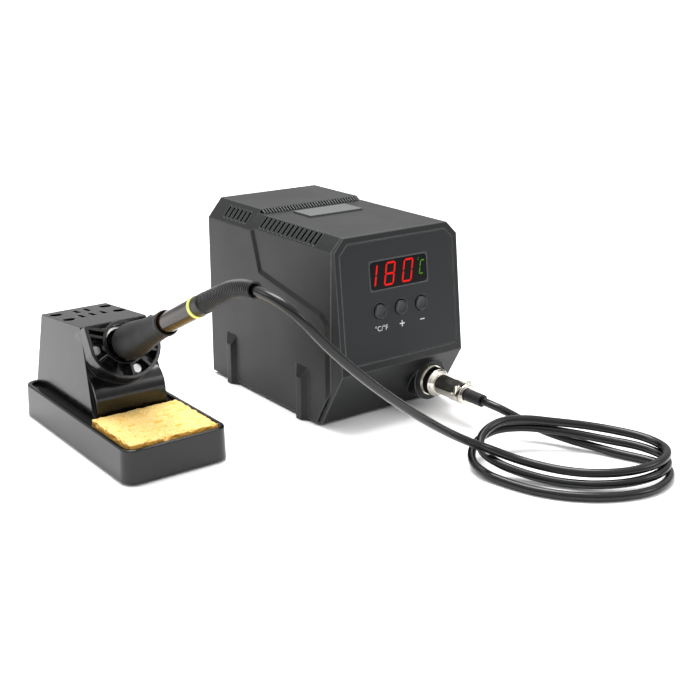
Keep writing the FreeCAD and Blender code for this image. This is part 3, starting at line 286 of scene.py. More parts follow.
def along(spots):
    """Direction of travel at each of a row of points."""
    last = len(spots) - 1
    return [(spots[min(i + 1, last)] - spots[max(i - 1, 0)]).normalized() for i in range(last + 1)]


cord_line = nurbs_line("cord_route", route)
cord_long = sum((b - a).length for a, b in zip(cord_line, cord_line[1:]))
print("cord length", round(cord_long / mm), "mm")

# %% [markdown]
# ## The cord's skin
#
# Rings along the line are joined into a tube.

cord_rings = [(spot, way, CORD_THICK / 2) for spot, way in zip(cord_line, along(cord_line))]
cord = bpy.data.objects.new("silicone_cord", skinned("silicone_cord", cord_rings, around=20))
scene.collection.objects.link(cord)
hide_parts("cord_lead", "cord_coil", "cord_tail")
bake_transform(cord)

# %% [markdown]
# ## Materials: one helper
#
# Every finish is a small node tree built by the same function: it adds a node, sets its
# values and plugs in its links.  Colours are written as the hex values a paint chart would
# give (sRGB), and one function turns them into the linear values that Blender mixes.

# %% Colour and node helpers
def linear(hex_colour):
    """An sRGB hex colour as a linear RGBA value."""
    parts = [int(hex_colour[i:i + 2], 16) / 255 for i in (1, 3, 5)]
    return [p / 12.92 if p <= 0.04045 else ((p + 0.055) / 1.055) ** 2.4 for p in parts] + [1]


def add(material, kind, inputs=None, **settings):
    """Add a node: settings are its own options, inputs are values or links."""
    node = material.node_tree.nodes.new("ShaderNode" + kind)
    for name, setting in settings.items():
        setattr(node, name, setting)
    for name, given in (inputs or {}).items():
        if isinstance(given, bpy.types.NodeSocket):
            material.node_tree.links.new(given, node.inputs[name])
        else:
            node.inputs[name].default_value = given
    return node


def new_material(name):
    material = bpy.data.materials.new(name)
    material.use_nodes = True
    material.node_tree.nodes.clear()
    return material


def finish(material, inputs):
    """Close a node tree with one Principled shader."""
    shader = add(material, "BsdfPrincipled", inputs)
    add(material, "OutputMaterial", {"Surface": shader.outputs["BSDF"]})
    return material


def dress(material, *names):
    """Give CAD nodes a material in place of their plain one."""
    for name in names:
        for place in nodes[name].material_slots:
            place.material = material

# %% [markdown]
# ## Textured ABS
#
# The case is injection-moulded ABS from a spark-eroded mould: a fine, even grain that
# scatters light, so the black reads as dark grey where it faces the lamps.  The real grain
# is about 0.2 mm; here it is 0.45 mm so that it shows.  Two noises are used: one for the
# grain in the bump, and a wide, faint one for the slight unevenness of the sheen.  A paler
# grey is painted along the edges as a highlight: the rounded normal of the Bevel node
# is compared with the true one, and where they differ there is an edge.

# %% Moulded ABS
EDGE_SOFT = 1.1  # mm, how far the moulded edges are rounded for the light


def textured_abs(name, colour, lighter, grain, depth, roughness):
    """Moulded ABS: colours, grain size in mm, bump depth in mm and roughness."""
    m = new_material(name)
    place = add(m, "TexCoord").outputs["Object"]
    fine = add(m, "TexNoise", {"Vector": place, "Scale": 1 / (grain * mm), "Detail": 3, "Roughness": 0.6})
    wide = add(m, "TexNoise", {"Vector": place, "Scale": 1 / (35 * mm), "Detail": 2})
    tone = add(m, "ValToRGB", {"Fac": fine.outputs["Fac"]})
    tone.color_ramp.elements[0].position, tone.color_ramp.elements[1].position = 0.35, 0.7
    tone.color_ramp.elements[0].color, tone.color_ramp.elements[1].color = linear(colour), linear(lighter)
    sheen = add(m, "MapRange", {"Value": wide.outputs["Fac"], "From Min": 0.3, "From Max": 0.7,
                                "To Min": roughness - 0.04, "To Max": roughness + 0.05})
    soft = add(m, "Bevel", {"Radius": EDGE_SOFT * mm}, samples=6)
    bump = add(m, "Bump", {"Height": fine.outputs["Fac"], "Strength": 0.6, "Distance": depth * mm,
                           "Normal": soft.outputs["Normal"]})
    # Painted highlight: where the Bevel normal and the true normal differ, a paler grey is mixed into the
    # colour along the edges.
    same = add(m, "VectorMath", operation="DOT_PRODUCT")
    m.node_tree.links.new(soft.outputs["Normal"], same.inputs[0])
    m.node_tree.links.new(add(m, "NewGeometry").outputs["Normal"], same.inputs[1])
    edge = add(m, "MapRange", {"Value": same.outputs["Value"], "From Min": 0.99, "From Max": 0.9,
                               "To Min": 0.0, "To Max": 0.75})
    painted_edge_highlight = add(m, "MixRGB", {"Fac": edge.outputs["Result"], "Color1": tone.outputs["Color"],
                             "Color2": linear("#5c5e60")})
    return finish(m, {"Base Color": painted_edge_highlight.outputs["Color"], "Roughness": sheen.outputs["Result"],
                      "Normal": bump.outputs["Normal"], "IOR": 1.36})


case_abs = textured_abs("textured_black_abs", "#090a0a", "#131414", 0.45, 0.02, 0.36)
bezel_abs = textured_abs("textured_black_abs_front", "#090a0b", "#111314", 0.45, 0.02, 0.36)
dress(case_abs, "housing_cover", "rear_panel", "base_plate")
dress(bezel_abs, "front_bezel")

# %% [markdown]
# ## Printed front panel
#
# The fascia is a polycarbonate film with a matte, fine-grained face over dark blue-grey
# ink.  Its grain is finer and its sheen more even than the moulded case.

# %% Fascia film
fascia_film = textured_abs("printed_polycarbonate_film", "#0d1012", "#14181b", 0.3, 0.008, 0.42)
dress(fascia_film, "fascia_panel")

# %% [markdown]
# ## Polished black ABS
#
# The stand comes from a polished mould: glossy black that mirrors the lamps, with the faint
# ripples that cooling leaves.  A low roughness and a very shallow, wide bump give both.

# %% Gloss ABS
def gloss_abs(name, colour, roughness, ripple):
    m = new_material(name)
    place = add(m, "TexCoord").outputs["Object"]
    wave = add(m, "TexNoise", {"Vector": place, "Scale": 1 / (14 * mm), "Detail": 1})
    smear = add(m, "TexNoise", {"Vector": place, "Scale": 1 / (6 * mm), "Detail": 4})
    shine = add(m, "MapRange", {"Value": smear.outputs["Fac"], "From Min": 0.35, "From Max": 0.75,
                                "To Min": roughness, "To Max": roughness + 0.07})
    soft = add(m, "Bevel", {"Radius": 0.8 * mm}, samples=4)
    bump = add(m, "Bump", {"Height": wave.outputs["Fac"], "Strength": 0.35, "Distance": ripple * mm,
                           "Normal": soft.outputs["Normal"]})
    return finish(m, {"Base Color": linear(colour), "Roughness": shine.outputs["Result"],
                      "Normal": bump.outputs["Normal"], "IOR": 1.45})


stand_abs = gloss_abs("polished_black_abs", "#070708", 0.15, 0.12)
button_abs = gloss_abs("satin_black_abs", "#141517", 0.3, 0.05)
rocker_abs = gloss_abs("switch_nylon", "#161617", 0.3, 0.05)
dress(stand_abs, "stand_base", "stand_bottom_cover", "stand_tower", "holder_plate")
dress(button_abs, "unit_button", "plus_button", "minus_button")
dress(rocker_abs, "power_switch_frame", "power_rocker", "fuse_holder", "fuse_cap", "mains_inlet")

# %% [markdown]
# ## Metals
#
# The connector is nickel-plated brass: bright, slightly warm, with fine turning lines round
# it.  The funnel, barrel and screws are stainless or zinc-plated steel, duller and greyer.
# A metal's colour is its reflection, so it goes in the base colour with metallic at 1.

# %% Plated and bare metals
def turned_metal(name, colour, roughness, line, depth):
    """A metal with fine lines from machining, line apart in mm."""
    m = new_material(name)
    place = add(m, "TexCoord").outputs["Object"]
    lines = add(m, "TexNoise", {"Vector": place, "Scale": 1 / (line * mm), "Detail": 4, "Roughness": 0.7})
    stain = add(m, "TexNoise", {"Vector": place, "Scale": 1 / (5 * mm), "Detail": 3})
    shine = add(m, "MapRange", {"Value": stain.outputs["Fac"], "From Min": 0.3, "From Max": 0.7,
                                "To Min": roughness, "To Max": roughness + 0.1})
    soft = add(m, "Bevel", {"Radius": 0.25 * mm}, samples=4)
    bump = add(m, "Bump", {"Height": lines.outputs["Fac"], "Strength": 0.3, "Distance": depth * mm,
                           "Normal": soft.outputs["Normal"]})
    return finish(m, {"Base Color": linear(colour), "Metallic": 1.0, "Roughness": shine.outputs["Result"],
                      "Normal": bump.outputs["Normal"]})


nickel = turned_metal("nickel_plated_brass", "#d5d0c6", 0.1, 0.5, 0.01)
steel = turned_metal("zinc_plated_steel", "#a9a9ab", 0.28, 0.4, 0.01)
stainless = turned_metal("stainless_steel", "#b9b7b3", 0.22, 0.4, 0.01)
tip_plating = turned_metal("chrome_plated_iron", "#9a9a9a", 0.2, 0.6, 0.01)
brass = turned_metal("tinned_brass", "#c9b27a", 0.25, 0.5, 0.01)
lamination_steel = turned_metal("laminated_steel", "#6b6b6f", 0.45, 0.5, 0.04)
copper_wire = turned_metal("enamelled_copper", "#a8592f", 0.35, 0.6, 0.08)
aluminium = turned_metal("bare_aluminium", "#b4b6ba", 0.35, 0.4, 0.02)
cast_iron = turned_metal("cast_iron", "#4a4a4d", 0.6, 1.2, 0.2)
dress(nickel, "iron_socket", "socket_lock_nut", "plug_barrel", "coupling_nut", "cord_clamp", "clamp_screws")
dress(steel, "rear_panel_screws", "board_screws", "holder_screws")
dress(stainless, "funnel_guard", "barrel_nut", "barrel_sleeve")
dress(tip_plating, "iron_tip")
dress(brass, "socket_pins", "inlet_pins")
dress(lamination_steel, "transformer_core")
dress(copper_wire, "transformer_winding")
dress(aluminium, "heatsink")
dress(cast_iron, "ballast_weight")

# %% [markdown]
# ## Rubbers
#
# Five rubbers, told apart by their shine: the matte grip, the satin strain relief, the
# satin heat-shrink sleeve, the dull feet, and the glossy silicone jacket of the cord.  Each
# has a faint grain; the jacket's is nearly smooth, with a clear highlight along it.

# %% Rubber and silicone
def rubber(name, colour, roughness, grain, depth):
    m = new_material(name)
    place = add(m, "TexCoord").outputs["Object"]
    skin = add(m, "TexNoise", {"Vector": place, "Scale": 1 / (grain * mm), "Detail": 3})
    dust = add(m, "TexNoise", {"Vector": place, "Scale": 1 / (9 * mm), "Detail": 4})
    shine = add(m, "MapRange", {"Value": dust.outputs["Fac"], "From Min": 0.3, "From Max": 0.75,
                                "To Min": roughness, "To Max": min(roughness + 0.12, 1)})
    bump = add(m, "Bump", {"Height": skin.outputs["Fac"], "Strength": 0.5, "Distance": depth * mm})
    return finish(m, {"Base Color": linear(colour), "Roughness": shine.outputs["Result"],
                      "Normal": bump.outputs["Normal"], "IOR": 1.4})


cord_silicone = rubber("silicone_jacket", "#0a0a0b", 0.16, 4.0, 0.01)
relief_rubber = rubber("relief_elastomer", "#080808", 0.3, 0.5, 0.01)
grip_rubber = rubber("matte_grip_rubber", "#0b0b0c", 0.48, 0.35, 0.02)
sleeve_film = rubber("polyolefin_heat_shrink", "#1a1a1c", 0.42, 0.6, 0.02)
foot_rubber = rubber("foot_rubber", "#222223", 0.75, 0.5, 0.03)
cord.data.materials.append(cord_silicone)
dress(sleeve_film, "plug_sleeve")
dress(foot_rubber, "station_feet", "stand_feet")

# %% [markdown]
# ## The strain relief
#
# A moulded tail of about thirty ribs on a taper, so that the cord bends gently where it
# leaves the iron.  CAD has the plain taper; here the ribs are real geometry, rings along
# the same line whose radius steps in and out, and the cord comes out of an open end.

# %% Ribbed strain relief
RELIEF_RIBS = 31
RELIEF_RADII = (5.55, 4.35)
GROOVE = 0.75


def relief_rings():
    """Rings of a smooth start, the ribs with a groove after each, and the open end."""
    rings = [(0.0, RELIEF_RADII[0]), (0.05, RELIEF_RADII[0])]
    for rib in range(RELIEF_RIBS):
        for part, drop in ((0.0, 0.0), (0.45, 0.0), (0.58, GROOVE), (0.9, GROOVE)):
            at = 0.05 + 0.93 * (rib + part) / RELIEF_RIBS
            rings.append((at, RELIEF_RADII[0] * (1 - at) + RELIEF_RADII[1] * at - drop))
    rings += [(0.982, 4.35), (1.0, 4.25), (1.0, 3.2), (0.985, 2.6)]
    return [(*relief_spot(at), radius * mm) for at, radius in rings]


relief = add_piece("ribbed_relief", skinned("ribbed_relief", relief_rings(), around=40, closed=False),
                   "iron")
relief.data.materials.append(relief_rubber)
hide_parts("strain_relief")
print("relief with", RELIEF_RIBS, "ribs")

# %% [markdown]
# ## Grip and handle
#
# The grip is a soft sleeve: a fat rounded end by the tip, drawn in to a neck and ending in
# a small lip round the handle.  It is one smooth turned curve, finer than the CAD's facets.
# The handle is a glossy thermoset with a brownish tint, and a yellow-green ring marks the
# end of the grip's size range.

# %% Soft grip
grip_curve = [(0.0, 5.7), (0.0, 6.9), (0.7, 8.3), (2.0, 9.5), (4.0, 10.3), (6.5, 10.6), (10.0, 10.55),
              (15.0, 10.2), (21.0, 9.5), (28.0, 8.6), (36.0, 7.8), (44.0, 7.2), (50.0, 6.95), (53.0, 6.95),
              (54.4, 7.3), (55.6, 7.35), (56.5, 7.15), (56.8, 6.7), (56.7, 6.2), (55.0, 6.1), (50.0, 6.0)]
grip = add_piece("soft_grip", turned("soft_grip", grip_curve, nose, iron_way, around=64, closed=False),
                 "iron")
grip.data.materials.append(grip_rubber)
grip.modifiers.new("even_curve", "SUBSURF").levels = 1
grip.modifiers["even_curve"].render_levels = 2
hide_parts("grip")

# %% [markdown]
# ## Handle and ring
#
# The handle is dark phenolic, moulded and glossy; the ring behind it is a pale yellow ABS.

# %% Handle and ring finishes
handle_resin = gloss_abs("brown_black_phenolic", "#20140a", 0.12, 0.06)
ring_abs = gloss_abs("pale_yellow_abs", "#cdd165", 0.35, 0.03)
dress(handle_resin, "iron_handle")
dress(relief_rubber, "relief_collar")
dress(ring_abs, "colour_ring")

# %% [markdown]
# ## Small parts out of sight
#
# What sits inside the case still shows through the vents and in other views, so each part
# gets the finish of its real material.

# %% Boards, plastics and glass inside
board_mask = gloss_abs("green_solder_mask", "#1e5a36", 0.35, 0.02)
plain_nylon = gloss_abs("black_nylon", "#1a1a1b", 0.5, 0.05)
part_epoxy = gloss_abs("moulded_epoxy", "#18181c", 0.5, 0.05)
ceramic = gloss_abs("white_ceramic", "#ded9cc", 0.5, 0.05)
fuse_glass = new_material("clear_fuse_glass")
finish(fuse_glass, {"Base Color": linear("#eef4f4"), "Roughness": 0.05, "IOR": 1.5,
                    "Transmission Weight": 0.9})
dress(board_mask, "control_board", "main_board")
dress(plain_nylon, "display_module", "tactile_switches", "socket_insert", "plug_insert")
dress(part_epoxy, "power_triac", "smoothing_capacitors")
dress(ceramic, "heating_element")
dress(fuse_glass, "fuse")

# %% [markdown]
# ## The display
#
# Three red seven-segment digits and a small green unit behind smoked acrylic.  The lens is
# nearly black and glossy.  The lit segments are thin slanted bars set just proud of the
# lens, so they glow without a light of their own.

# %% Window lens
lens_acrylic = new_material("smoked_acrylic")
lens_place = add(lens_acrylic, "TexCoord").outputs["Object"]
lens_haze = add(lens_acrylic, "TexNoise", {"Vector": lens_place, "Scale": 1 / (3 * mm), "Detail": 2})
lens_shine = add(lens_acrylic, "MapRange", {"Value": lens_haze.outputs["Fac"], "To Min": 0.1, "To Max": 0.2})
finish(lens_acrylic, {"Base Color": linear("#020202"), "Roughness": lens_shine.outputs["Result"],
                      "IOR": 1.49, "Specular IOR Level": 0.12})
dress(lens_acrylic, "display_window")


def glowing(name, colour, strength):
    m = new_material(name)
    place = add(m, "TexCoord").outputs["Object"]
    spread = add(m, "TexNoise", {"Vector": place, "Scale": 1 / (1.2 * mm), "Detail": 1})
    level = add(m, "MapRange", {"Value": spread.outputs["Fac"], "To Min": strength * 0.9,
                                "To Max": strength * 1.1})
    return finish(m, {"Base Color": linear("#080404"), "Roughness": 0.5, "Specular IOR Level": 0.1,
                      "Emission Color": linear(colour), "Emission Strength": level.outputs["Result"]})


red_led = glowing("red_led_segment", "#ff0c05", 0.95)
green_led = glowing("green_led_segment", "#4f9a1c", 0.9)

# %% [markdown]
# ## Lit digits
#
# Each lit bar is a flat six-sided prism, leaned a little, on the lens's outer face.  Bars are
# listed by letter, so a digit is a short word, and only the lit ones are made.

# %% Seven-segment characters
SEGMENTS = {"1": "bc", "8": "abcdefg", "0": "abcdef", "C": "adef", "°": "ad"}
SLANT = math.tan(math.radians(11))
LENS_HALF = 1.25 * mm
window_low, window_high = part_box("display_window")
window_face = middle("display_window") + face_out * LENS_HALF


def face_point(across, up, out=0.0, origin=window_face):
    """A point on the slanted face, in mm from an origin."""
    return origin + (face_across * across + face_up * up + face_out * out) * mm


def bar(shape, start, end, thick, centre, out):
    """One pointed segment between two spots of a slanted character."""
    along_bar = (Vector(end) - Vector(start)).normalized()
    across_bar = Vector((-along_bar.y, along_bar.x))
    gap, half = 0.16, thick / 2
    a, b = Vector(start) + along_bar * gap, Vector(end) - along_bar * gap
    outline = [a, a + along_bar * half + across_bar * half, b - along_bar * half + across_bar * half,
               b, b - along_bar * half - across_bar * half, a + along_bar * half - across_bar * half]
    spots = [(centre[0] + p.x + SLANT * p.y, centre[1] + p.y) for p in outline]
    corners = [shape.verts.new(face_point(x, y, out)) for x, y in spots]
    lid = shape.faces.new(corners)
    grown = bmesh.ops.extrude_face_region(shape, geom=[lid])
    moved = [item for item in grown["geom"] if isinstance(item, bmesh.types.BMVert)]
    bmesh.ops.translate(shape, verts=moved, vec=face_out * (0.05 * mm))


def character(shape, letter, centre, wide, tall, thick, out):
    w, h = wide / 2, tall / 2
    ends = {"a": ((-w, h), (w, h)), "b": ((w, h), (w, 0)), "c": ((w, 0), (w, -h)), "d": ((-w, -h), (w, -h)),
            "e": ((-w, 0), (-w, -h)), "f": ((-w, h), (-w, 0)), "g": ((-w, 0), (w, 0))}
    for segment in SEGMENTS[letter]:
        bar(shape, *ends[segment], thick, centre, out)


def lit_piece(name, characters, material):
    """Lit characters as one mesh, each given as (letter, centre, width, height, thickness)."""
    shape = bmesh.new()
    for letter, centre, wide, tall, thick in characters:
        character(shape, letter, centre, wide, tall, thick, 0.06)
    bmesh.ops.recalc_face_normals(shape, faces=shape.faces)
    mesh = bpy.data.meshes.new(name)
    shape.to_mesh(mesh)
    shape.free()
    piece = add_piece(name, mesh, "station_and_stand")
    piece.data.materials.append(material)
    return piece


lit_piece("red_digits", [("1", (-20.5, 0.1), 6.5, 12.9, 1.1), ("8", (-6.8, 0.1), 6.5, 12.9, 1.1),
                         ("0", (7.0, 0.1), 6.5, 12.9, 1.1)], red_led)
lit_piece("green_unit", [("C", (18.3, 0.5), 3.1, 8.0, 0.7), ("°", (15.6, 5.8), 1.1, 1.1, 0.6)],
          green_led)
print("window", [round(side / mm, 1) for side in window_high - window_low], "mm")

# %% [markdown]
# ## Window surround
#
# The printed film leaves a window with round corners, and a fine grey line is painted round it
# as the highlight along the window's edge.  The surround is a flat ring: square outside, rounded inside.

# %% Rounded window edge
PANEL_HALF = 0.8 * mm
fascia_face = middle("fascia_panel") + face_out * PANEL_HALF
window_up = (window_face - fascia_face).dot(face_up)
window_spot = fascia_face + face_across * (window_face.x - fascia_face.x) + face_up * window_up


def rounded_outline(wide, tall, radius, steps=10):
    """Points round a rectangle with round corners, anticlockwise from its lower right."""
    points = []
    for turn, (x, y) in enumerate(((1, -1), (1, 1), (-1, 1), (-1, -1))):
        for i in range(steps + 1):
            a = math.radians(90 * (turn - 1) + 90 * i / steps)
            points.append((x * (wide / 2 - radius) + radius * math.cos(a),
                           y * (tall / 2 - radius) + radius * math.sin(a)))
    return points


def flat_ring(name, outer, inner, low, high, material):
    """A thin ring between two outlines with as many points each, lying on the panel."""
    shape = bmesh.new()
    rows = [[shape.verts.new(face_point(x, y, z, window_spot)) for x, y in line]
            for line, z in ((outer, low), (outer, high), (inner, high), (inner, low))]
    for a, b in zip(rows, rows[1:] + rows[:1]):
        for i in range(len(a)):
            j = (i + 1) % len(a)
            shape.faces.new((a[i], a[j], b[j], b[i]))
    bmesh.ops.recalc_face_normals(shape, faces=shape.faces)
    mesh = bpy.data.meshes.new(name)
    shape.to_mesh(mesh)
    shape.free()
    ring = add_piece(name, mesh, "station_and_stand")
    ring.data.materials.append(material)
    return ring


flat_ring("window_surround", rounded_outline(45.2, 18.4, 0.05), rounded_outline(43.9, 17.1, 2.4),
          -0.3, 0.03, fascia_film)
# Painted highlight: a thin grey ring along the window's edge.
window_highlight_line = gloss_abs("grey_window_highlight", "#55585c", 0.4, 0.01)
flat_ring("window_line", rounded_outline(44.3, 17.5, 2.6), rounded_outline(43.9, 17.1, 2.4),
          0.03, 0.06, window_highlight_line)
print("surround", [round(v / mm, 1) for v in window_spot])

# %% [markdown]
# ## Buttons
#
# Each button is a moulded cap with a rounded rim and a slightly dished top, so it catches a
# small arc of light.  A turned profile gives the dish, which the CAD solid leaves out.

# %% Button caps
cap_curve = [(-2.6, 0.05), (-2.6, 4.6), (0.3, 4.62), (0.7, 4.5), (1.0, 4.2), (1.1, 3.85), (1.02, 3.5),
             (0.86, 3.15), (0.76, 2.6), (0.7, 1.5), (0.68, 0.05)]
for button in ("unit_button", "plus_button", "minus_button"):
    spot = middle(button) - fascia_face
    cap_foot = fascia_face + face_across * spot.x + face_up * spot.dot(face_up)
    cap = add_piece(button + "_cap", turned(button + "_cap", cap_curve, cap_foot, face_out), button + "_body")
    cap.data.materials.append(button_abs)
    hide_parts(button)
print("three button caps")

# %% [markdown]
# ## Printed legends
#
# The buttons are marked in white ink: the unit switch, plus and minus.  Plain text objects
# turned to mesh do for them, laid flat on the slanted panel.

# %% White legends
white_ink = new_material("white_screen_ink")
ink_place = add(white_ink, "TexCoord").outputs["Object"]
ink_grain = add(white_ink, "TexNoise", {"Vector": ink_place, "Scale": 1 / (0.4 * mm), "Detail": 2})
ink_tone = add(white_ink, "ValToRGB", {"Fac": ink_grain.outputs["Fac"]})
ink_tone.color_ramp.elements[0].color = linear("#b9bcc2")
ink_tone.color_ramp.elements[1].color = linear("#d6d9de")
finish(white_ink, {"Base Color": ink_tone.outputs["Color"], "Roughness": 0.55})

FACE_TURN = Matrix((face_across, face_up, face_out)).transposed().to_4x4()


def legend(name, words, size, centre):
    """Printed words, size in mm, centred on a spot of the slanted panel."""
    text = bpy.data.curves.new(name, "FONT")
    text.body = words
    text.size = size * mm
    text.align_x, text.align_y = "CENTER", "CENTER"
    text.extrude = 0.02 * mm
    text.offset = -0.02 * mm
    holder = bpy.data.objects.new(name + "_text", text)
    scene.collection.objects.link(holder)
    mesh = bpy.data.meshes.new_from_object(holder)
    bpy.data.objects.remove(holder)
    mesh.transform(Matrix.Translation(centre) @ FACE_TURN)
    mesh.materials.clear()
    mesh.materials.append(white_ink)
    return add_piece(name, mesh, "station_and_stand")


for button, words, size in (("unit_button", "°C/°F", 4.4), ("plus_button", "+", 8.2),
                            ("minus_button", "−", 7.5)):
    spot = middle(button) - fascia_face
    below = fascia_face + face_across * (spot.x + 0.3 * mm) + face_up * (spot.dot(face_up) - 10.3 * mm)
    mark = legend(button.replace("button", "legend"), words, size, below + face_out * (0.03 * mm))
    print(mark.name, [round(side / mm, 1) for side in mark.dimensions])

# %% [markdown]
# ## Badge plate
#
# A plain aluminium foil plate is stuck on the top.  Brushed foil reflects in streaks, so
# its noise is stretched along one direction.

# %% Brushed badge
badge_foil = new_material("brushed_aluminium_foil")
foil_place = add(badge_foil, "TexCoord").outputs["Object"]
foil_stretch = add(badge_foil, "Mapping", {"Vector": foil_place, "Scale": (0.08, 1, 1)})
foil_streaks = add(badge_foil, "TexNoise", {"Vector": foil_stretch.outputs["Vector"],
                                           "Scale": 1 / (0.4 * mm), "Detail": 3})
foil_tone = add(badge_foil, "ValToRGB", {"Fac": foil_streaks.outputs["Fac"]})
foil_tone.color_ramp.elements[0].color = linear("#565857")
foil_tone.color_ramp.elements[1].color = linear("#6c6f6d")
foil_bump = add(badge_foil, "Bump", {"Height": foil_streaks.outputs["Fac"], "Strength": 0.2,
                                    "Distance": 0.02 * mm})
finish(badge_foil, {"Base Color": foil_tone.outputs["Color"], "Metallic": 0.6, "Roughness": 0.45,
                    "Normal": foil_bump.outputs["Normal"]})
dress(badge_foil, "top_badge")

# %% [markdown]
# ## Ribs along the step
#
# The back of the top stands a little higher.  A row of small ribs runs along the step: each
# is a wedge, and the mould's spark finish keeps their edges slightly soft.

# %% Step ribs
RIB_COUNT = 34
RIB_PITCH = 2.23
RIB_THICK = 1.0
RIB_SHIFT = 0.5 * mm
STEP_PLACE = 57.6 * mm           # where the raised rear part starts
FRONT_TOP = 118.5 * mm
cover_low, cover_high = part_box("housing_cover")
step_foot = Vector(((cover_low.x + cover_high.x) / 2 - RIB_SHIFT, STEP_PLACE, FRONT_TOP))


def rib_row():
    """Wedges side by side: low at the front, level with the rear top behind."""
    outline = [(-4.2, -0.2), (-4.2, 0.25), (-0.6, 2.3), (0.1, 2.3), (0.1, -0.2)]
    shape = bmesh.new()
    for rib in range(RIB_COUNT):
        left = (rib - (RIB_COUNT - 1) / 2) * RIB_PITCH - RIB_THICK / 2
        corners = [shape.verts.new(step_foot + Vector((left, y, z)) * mm) for y, z in outline]
        grown = bmesh.ops.extrude_face_region(shape, geom=[shape.faces.new(corners)])
        moved = [item for item in grown["geom"] if isinstance(item, bmesh.types.BMVert)]
        bmesh.ops.translate(shape, verts=moved, vec=Vector((RIB_THICK * mm, 0, 0)))
    bmesh.ops.recalc_face_normals(shape, faces=shape.faces)
    mesh = bpy.data.meshes.new("step_ribs")
    shape.to_mesh(mesh)
    shape.free()
    return mesh


ribs = add_piece("step_ribs", rib_row(), "station_and_stand")
ribs.data.materials.append(case_abs)
rounding = ribs.modifiers.new("soft_edges", "BEVEL")
rounding.width, rounding.segments = 0.2 * mm, 2
print(RIB_COUNT, "ribs,", round(RIB_COUNT * RIB_PITCH), "mm across")

# %% [markdown]
# ## The coupling nut
#
# The nut has a black knurled band for the fingers between two polished nickel rims, and a
# stepped bevel towards the barrel.  The knurl's teeth are real: a ring whose radius goes
# in and out many times round, because light glints off each tooth.

# %% Nut rims and knurl
nut_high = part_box("coupling_nut")[1]
nut_way = Vector((0, -1, 0))
nut_foot = Vector((plug_axis.x, nut_high.y, plug_axis.z))
rim_curve = [(0.0, 6.6), (0.0, 8.6), (0.15, 8.9), (0.4, 8.95), (0.5, 8.4), (5.2, 8.4), (5.3, 8.7),
             (5.5, 8.85), (5.8, 8.7), (6.3, 8.2), (6.9, 8.1), (7.3, 7.9), (8.0, 7.15), (8.4, 7.0),
             (8.58, 6.8), (8.58, 6.3)]
rims = add_piece("nut_rims", turned("nut_rims", rim_curve, nut_foot, nut_way, around=64, closed=False),
                 "nut_body")
rims.data.materials.append(nickel)

KNURL_TEETH = 60


def knurled(name, foot, way, start, end, radius, depth):
    """A band of straight teeth round an axis, in millimetres."""
    side = way.orthogonal().normalized()
    across = way.cross(side)
    shape = bmesh.new()
    rows = []
    for z, shrink in ((start, depth), (start + 0.25, 0), (end - 0.25, 0), (end, depth)):
        row = []
        for i in range(KNURL_TEETH * 4):
            r = radius - shrink - (depth if i % 4 in (0, 3) else 0)
            a = 2 * math.pi * i / (KNURL_TEETH * 4)
            spoke = side * math.cos(a) + across * math.sin(a)
            row.append(shape.verts.new(foot + (way * z + spoke * r) * mm))
        rows.append(row)
    for low, high in zip(rows, rows[1:]):
        for i in range(len(low)):
            shape.faces.new((low[i], low[(i + 1) % len(low)], high[(i + 1) % len(low)], high[i]))
    shape.faces.new(rows[0])
    shape.faces.new(rows[-1])
    bmesh.ops.recalc_face_normals(shape, faces=shape.faces)
    mesh = bpy.data.meshes.new(name)
    shape.to_mesh(mesh)
    shape.free()
    return mesh


black_oxide = turned_metal("black_oxide_steel", "#3d3a36", 0.3, 0.5, 0.01)
knurl = add_piece("nut_knurl", knurled("nut_knurl", nut_foot, nut_way, 0.5, 5.2, 8.95, 0.28),
                  "nut_body")
knurl.data.materials.append(black_oxide)
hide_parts("coupling_nut")
print("knurl with", KNURL_TEETH, "teeth")

# %% [markdown]
# ## Cord clamp
#
# The clamp is a turned nickel saddle behind the nut, drawn as one profile round the plug's axis.

# %% Cord clamp
saddle_curve = [(0.0, 5.6), (0.0, 6.3), (0.3, 6.55), (3.9, 6.55), (4.2, 6.3), (4.25, 5.1), (7.9, 5.1),
                (7.95, 6.3), (8.3, 6.65), (10.9, 6.65), (11.5, 6.2), (11.7, 4.6), (11.3, 3.85)]
clamp_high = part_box("cord_clamp")[1]
saddle_foot = Vector((plug_axis.x, clamp_high.y, plug_axis.z))
saddle_mesh = turned("clamp_saddle", saddle_curve, saddle_foot, nut_way, closed=False)
saddle = add_piece("clamp_saddle", saddle_mesh, "station_and_stand")
saddle.data.materials.append(nickel)

# %% [markdown]
# ## The sponge
#
# A cellulose sponge is cut from a block, so its faces are flat but full of pores, and its
# edges are ragged.  The piece is a fine grid over the pad's shape.  Noise pushes its
# surface in where a pore opens, and a wider noise wears the edges.  The front edge has a
# small nick.

# %% Sponge shape
SPONGE_CELL = 0.75 * mm
sponge_low, sponge_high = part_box("sponge")


def grid_block(low, high, cell):
    """A closed block whose faces are fine grids, welded along the edges."""
    counts = [max(1, round((high[k] - low[k]) / cell)) for k in range(3)]
    shape = bmesh.new()
    for axis in range(3):
        u, v = (axis + 1) % 3, (axis + 2) % 3
        for end in (low, high):
            def corner(i, j):
                spot = Vector(end)
                spot[u] = low[u] + (high[u] - low[u]) * i / counts[u]
                spot[v] = low[v] + (high[v] - low[v]) * j / counts[v]
                return shape.verts.new(spot)
            lattice = [[corner(i, j) for j in range(counts[v] + 1)] for i in range(counts[u] + 1)]
            for i in range(counts[u]):
                for j in range(counts[v]):
                    shape.faces.new((lattice[i][j], lattice[i + 1][j],
                                     lattice[i + 1][j + 1], lattice[i][j + 1]))
    bmesh.ops.remove_doubles(shape, verts=shape.verts, dist=cell / 10)
    bmesh.ops.recalc_face_normals(shape, faces=shape.faces)
    return shape


